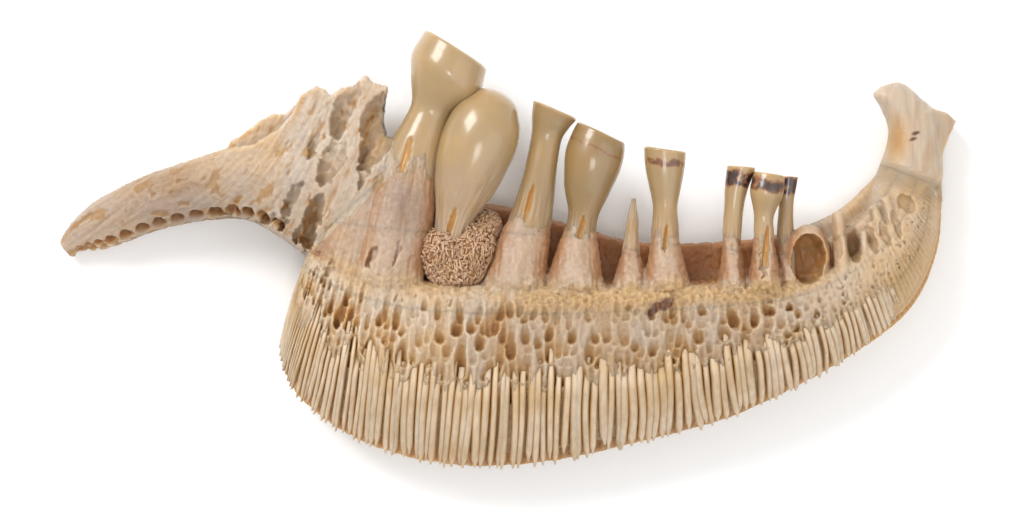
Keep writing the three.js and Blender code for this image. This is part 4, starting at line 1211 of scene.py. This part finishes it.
class PHARYNX_OT_spongy_root(bpy.types.Operator):
    """Covers the new tooth's root with a tangle of short, worm-like struts of spongy bone"""
    bl_idname = "pharynx.spongy_root"
    bl_label = "Spongy root"

    def execute(self, context):
        rng = np.random.default_rng(context.scene.pharynx_root.seed)
        struts = [strut_rings(rng) for i in range(STRUT_COUNT)]
        tangle = joined([grid_tube(rings) for rings in struts if rings is not None])
        place("spongy_root", tangle, crumbly_material(), "tooth_row", "body_bone")
        return {"FINISHED"}


class PHARYNX_OT_stage(bpy.types.Operator):
    """Sets the pale floor, the soft lights and the camera that looks straight down"""
    bl_idname = "pharynx.stage"
    bl_label = "Stage"

    def execute(self, context):
        look = context.scene.pharynx_stage
        bm = bmesh.new()
        bmesh.ops.create_grid(bm, x_segments=1, y_segments=1, size=2.0)
        mesh = bpy.data.meshes.new("floor")
        bm.to_mesh(mesh)
        bm.free()
        paper = new_material("pale_floor")
        shader = add_node(paper, "ShaderNodeBsdfPrincipled", inputs={
            "Base Color": tuple(look.floor), "Roughness": 0.9})
        add_node(paper, "ShaderNodeOutputMaterial", inputs={"Surface": shader.outputs[0]})
        mesh.materials.append(paper)
        floor = bpy.data.objects.new("floor", mesh)
        context.scene.collection.objects.link(floor)

        for name, (at, size, watts) in LAMPS.items():
            data = bpy.data.lights.new(name, "AREA")
            data.size = size
            data.energy = watts
            lamp = bpy.data.objects.new(name, data)
            lamp.location = at
            lamp.rotation_euler = (-Vector(at)).to_track_quat("-Z", "Y").to_euler()
            context.scene.collection.objects.link(lamp)
        context.scene.view_settings.view_transform = "Standard"
        world = bpy.data.worlds.new("studio")
        world.use_nodes = True
        world.node_tree.nodes["Background"].inputs[0].default_value = (1, 1, 1, 1)
        world.node_tree.nodes["Background"].inputs[1].default_value = SKY_STRENGTH
        context.scene.world = world

        data = bpy.data.cameras.new("camera")
        data.lens = look.lens
        camera = bpy.data.objects.new("camera", data)
        away = look.frame_width * look.lens / data.sensor_width
        camera.location = (*CAMERA_AT, PICTURE_PLANE + away)
        context.scene.collection.objects.link(camera)
        context.scene.camera = camera
        return {"FINISHED"}


class PHARYNX_PT_panel(bpy.types.Panel):
    """Lists the bone's operators in the sidebar, in the order in which they run"""
    bl_idname = "PHARYNX_PT_panel"
    bl_label = "Pharyngeal bone"
    bl_space_type = "VIEW_3D"
    bl_region_type = "UI"
    bl_category = "Bone"

    def draw(self, context):
        for operator in OPERATORS:
            self.layout.operator(operator.bl_idname)


GROUPS = {
    "pharynx_bone": PHARYNX_PG_bone,
    "pharynx_teeth": PHARYNX_PG_teeth,
    "pharynx_root": PHARYNX_PG_root,
    "pharynx_stage": PHARYNX_PG_stage,
}
OPERATORS = (PHARYNX_OT_bone, PHARYNX_OT_ribs, PHARYNX_OT_teeth, PHARYNX_OT_spongy_root, PHARYNX_OT_stage)
CLASSES = (*GROUPS.values(), *OPERATORS, PHARYNX_PT_panel)


def register():
    for cls in CLASSES:
        bpy.utils.register_class(cls)
    for name, group in GROUPS.items():
        setattr(bpy.types.Scene, name, bpy.props.PointerProperty(type=group))


def unregister():
    for name in GROUPS:
        delattr(bpy.types.Scene, name)
    for cls in reversed(CLASSES):
        bpy.utils.unregister_class(cls)


def main():
    register()
    for operator in OPERATORS:
        group, name = operator.bl_idname.split(".")
        getattr(getattr(bpy.ops, group), name)()


if __name__ == "__main__":
    main()
